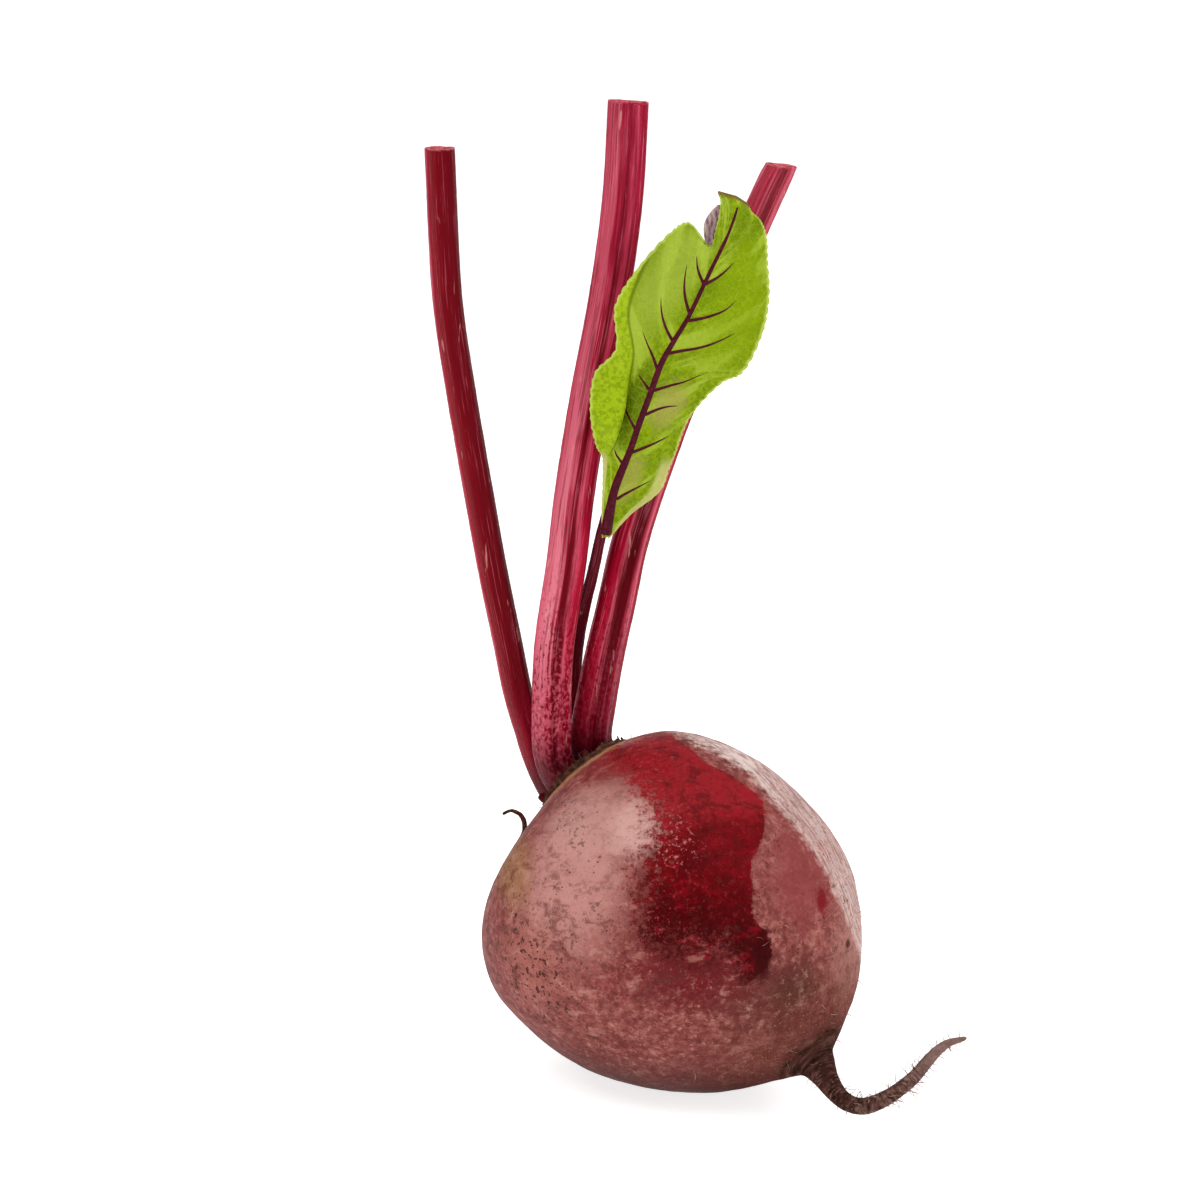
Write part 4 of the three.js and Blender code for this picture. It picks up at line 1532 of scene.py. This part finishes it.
def add_lobe(look, colour, across, along, mottle):
    """The lobe that turns over on the left gets painted light, with painted shade in the crease
    beside it.
    """
    from_lobe = look.number("ABSOLUTE", look.minus(along, LOBE_MIDDLE))
    edge = look.plus(across, look.times(from_lobe, LOBE_SLOPE))
    lobe = look.times(look.fade(edge, -0.40, -0.44), look.fade(along, 0.21, 0.24))
    shade = look.mix(look.fade(mottle, 0.54, 0.42, 0, 0.5), LEAF_LOBE_LIT, LEAF_DARK)
    # Painted light on the lobe
    colour = look.mix(look.times(lobe, 0.8), colour, shade)
    # Painted shade in the crease beside the lobe
    crease = look.times(look.fade(edge, -0.36, -0.40), look.fade(edge, -0.45, -0.41))
    crease = look.times(crease, look.fade(along, 0.22, 0.26))
    return look.mix(look.times(crease, 0.7), colour, LEAF_VALLEY_SHADE)


def add_leaf_edges(look, colour, share, along, waver):
    """A pale rim, paler still low down, and a brown tip."""
    rim = look.plus(share, look.times(waver, 0.05))
    colour = look.mix(look.fade(rim, 0.955, 0.985, 0, 0.75), colour, LEAF_EDGE)
    low_rim = look.times(look.fade(rim, 0.72, 0.84), look.fade(along, 0.26, 0.20))
    colour = look.mix(look.times(low_rim, 0.7), colour, LEAF_LOW_RIM)
    tip = look.plus(along, look.times(waver, 0.06))
    return look.mix(look.fade(tip, 0.945, 0.975, 0, 0.85), colour, LEAF_BROWN)


def leaf_look():
    look = Look("leaf_green")
    where = look.place()
    sheet = look.node("UVMap", uv_map="UVMap").outputs[0]
    across = look.minus(look.times(look.part(sheet, "X"), 2), 1)
    along = look.part(sheet, "Y")
    share = look.number("ABSOLUTE", across)
    mottle = look.cloud(where, 1.1, 4, 0.6)
    waver = look.minus(mottle, 0.5)
    net = look.cells(where, 0.75, "DISTANCE_TO_EDGE")
    # Soft bands that run out from the midrib as the side veins do: painted sheen on their pale parts
    # and painted shade on their dark parts
    slanted = look.minus(along, look.times(share, 0.15))
    band_place = look.together(look.times(slanted, 16), look.times(across, 1.2), 0.0)
    bands = look.cloud(band_place, 1.0, 3, 0.55, 0.3)
    colour = look.mix(look.fade(mottle, 0.35, 0.65), LEAF_DARK, LEAF)
    colour = look.mix(look.fade(bands, 0.49, 0.61, 0, 0.7), colour, LEAF_PAINTED_SHEEN)
    colour = look.mix(look.fade(bands, 0.46, 0.34, 0, 0.8), colour, LEAF_DARK)
    for centre, radii, shade, strength in LEAF_WASHES:
        colour = look.wash(colour, sheet, centre, radii, shade, strength, waver)
    colour = look.mix(look.fade(net, 0.09, 0.02, 0, 0.25), colour, LEAF_NET)
    colour = add_lobe(look, colour, across, along, mottle)
    colour = add_leaf_edges(look, colour, share, along, waver)
    height = look.plus(look.fade(net, 0.0, 0.22), look.times(mottle, 0.5))
    look.relief(look.plus(height, look.times(bands, 1.6)), 0.4, 0.3)
    return look.finish(colour, 0.45, Specular_IOR_Level=0.04)


def vein_look():
    look = Look("leaf_vein")
    fine = look.cloud(look.place(), 1.4, 3)
    colour = look.stops(
        fine, [(0.3, paint(52, 4, 16)), (0.6, paint(80, 10, 30)), (0.8, paint(112, 30, 46))]
    )
    look.relief(fine, 0.3, 0.2)
    return look.finish(colour, 0.45, Specular_IOR_Level=0.1)


def roll_look():
    look = Look("leaf_back")
    where = look.place()
    fine = look.cloud(look.vector("MULTIPLY", where, (2.2, 2.2, 0.5)), 0.9, 3)
    shades = [(0.35, paint(104, 70, 84)), (0.52, paint(168, 138, 144)), (0.68, paint(196, 176, 160))]
    colour = look.stops(fine, shades)
    look.relief(fine, 0.4, 0.2)
    return look.finish(colour, 0.5, Specular_IOR_Level=0.08)


def dry_look():
    look = Look("dry_scale")
    where = look.place()
    fine = look.cloud(where, 1.1, 4, 0.65)
    tone = look.cloud(where, 0.25, 2)
    colour = look.stops(
        fine, [(0.28, paint(28, 14, 10)), (0.5, paint(66, 36, 26)), (0.75, paint(124, 84, 60))]
    )
    colour = look.mix(look.fade(tone, 0.5, 0.65, 0, 0.5), colour, paint(78, 22, 24))
    look.relief(fine, 0.6, 0.3)
    return look.finish(colour, 0.85, Specular_IOR_Level=0.08)


def hair_look():
    look = Look("root_hair")
    fine = look.cloud(look.place(), 0.8, 2)
    colour = look.stops(fine, [(0.35, paint(96, 66, 56)), (0.65, paint(168, 142, 128))])
    return look.finish(colour, 0.8, Specular_IOR_Level=0.2)


# Stage and light

WHITE = (1, 1, 1, 1)
FLOOR_SIZE = 12
FLOOR_DROP = 0.0002
FLOOR_SHADE = (0.74, 0.74, 0.74)
FLOOR_GLOW = 0.76
STUDIO_GLOW = 0.26
# The softboxes face the root: name, the way they stand from it, distance, size and power
SUBJECT = Vector((0, 0, 45)) * MM
SOFTBOXES = (
    ("left_window", (-0.52, -0.35, 0.78), 0.8, (0.4, 0.4), 1.9),
    ("right_window", (0.93, -0.05, 0.34), 0.9, (0.7, 0.5), 1.6),
    ("back_window", (0.62, 0.33, 0.68), 0.9, (0.45, 0.45), 3.6),
    ("front_fill", (0.1, -1.0, 0.35), 1.6, (0.8, 0.8), 3.0),
)


def place_camera():
    bpy.ops.object.camera_add(location=CAMERA_PLACE, rotation=(CAMERA_TILT, 0, 0))
    camera = bpy.context.object
    camera.name = "camera"
    camera.data.lens = CAMERA_LENS
    camera.data.sensor_width = CAMERA_SENSOR
    camera.data.clip_end = CAMERA_REACH
    bpy.context.scene.camera = camera


def lay_floor():
    deselect()
    bpy.ops.mesh.primitive_plane_add(size=FLOOR_SIZE, location=(0, 0, -FLOOR_DROP))
    floor = bpy.context.object
    floor.name = "pale_floor"
    look = Look("pale_floor")
    floor.data.materials.append(
        look.finish(FLOOR_SHADE, 0.9, Specular_IOR_Level=0.1, Emission_Strength=FLOOR_GLOW)
    )
    look.shader.inputs["Emission Color"].default_value = WHITE


def add_sun(name, turn, strength, spread):
    bpy.ops.object.light_add(type="SUN", rotation=[math.radians(a) for a in turn])
    sun = bpy.context.object
    sun.name = name
    sun.data.energy = strength
    sun.data.angle = math.radians(spread)


def add_softbox(name, way, distance, size, power):
    place = SUBJECT + Vector(way).normalized() * distance
    facing = (SUBJECT - place).to_track_quat("-Z", "Y").to_euler()
    bpy.ops.object.light_add(type="AREA", location=place, rotation=facing)
    box = bpy.context.object
    box.name = name
    box.data.shape = "RECTANGLE"
    box.data.size, box.data.size_y = size
    box.data.energy = power


def light_studio():
    world = bpy.data.worlds.new("studio")
    world.use_nodes = True
    world.node_tree.nodes["Background"].inputs["Color"].default_value = WHITE
    world.node_tree.nodes["Background"].inputs["Strength"].default_value = STUDIO_GLOW
    bpy.context.scene.world = world
    add_sun("overhead", (20, -10, 0), 0.9, 60)
    for softbox in SOFTBOXES:
        add_softbox(*softbox)


def place_piece(piece, material, slot, *nodes):
    piece.data.materials.clear()
    piece.data.materials.append(material)
    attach(piece, "root")
    if nodes:
        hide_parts(*nodes)


bpy.context.scene.view_settings.view_transform = "Standard"
place_camera()
lay_floor()
light_studio()

dry = dry_look()
place_piece(make_root(), root_look(), "root_skin", "beet_root")
place_piece(make_rootlet(), dry, "root_skin")
place_piece(make_root_hairs(), hair_look(), "root_skin")
place_piece(make_crown_ring(), dry, "dry_scale", "crown_scales")
place_piece(make_crown_fibres(), dry, "dry_scale")
place_piece(make_stubs(), stem_look("stub_red", BANDS["stalk"], 9, pale=0.15), "dry_scale")

STEMS = (("left", STEM_LEFT), ("centre", STEM_CENTRE), ("right", STEM_RIGHT))
for seed, (side, stem) in enumerate(STEMS):
    piece = make_stem(side + "_stem", stem, RIDGES[side])
    look = stem_look(
        side + "_stem_red", BANDS[side], seed, UPPER[side], GLINT_SHARES[side], BUMPINESS[side]
    )
    place_piece(piece, look, "leaf_stem", "stem_" + side)
stalk = make_stem("leaf_stem_stalk", LEAF_STALK, RIDGES["stalk"], cut=False)
place_piece(stalk, stem_look("stalk_red", BANDS["stalk"], 5), "leaf_stalk", "leaf_stalk")

place_piece(make_blade(), leaf_look(), "leaf_green", "leaf_blade")
place_piece(make_veins(), vein_look(), "leaf_stalk")
place_piece(make_rolled_edge(), roll_look(), "leaf_green")
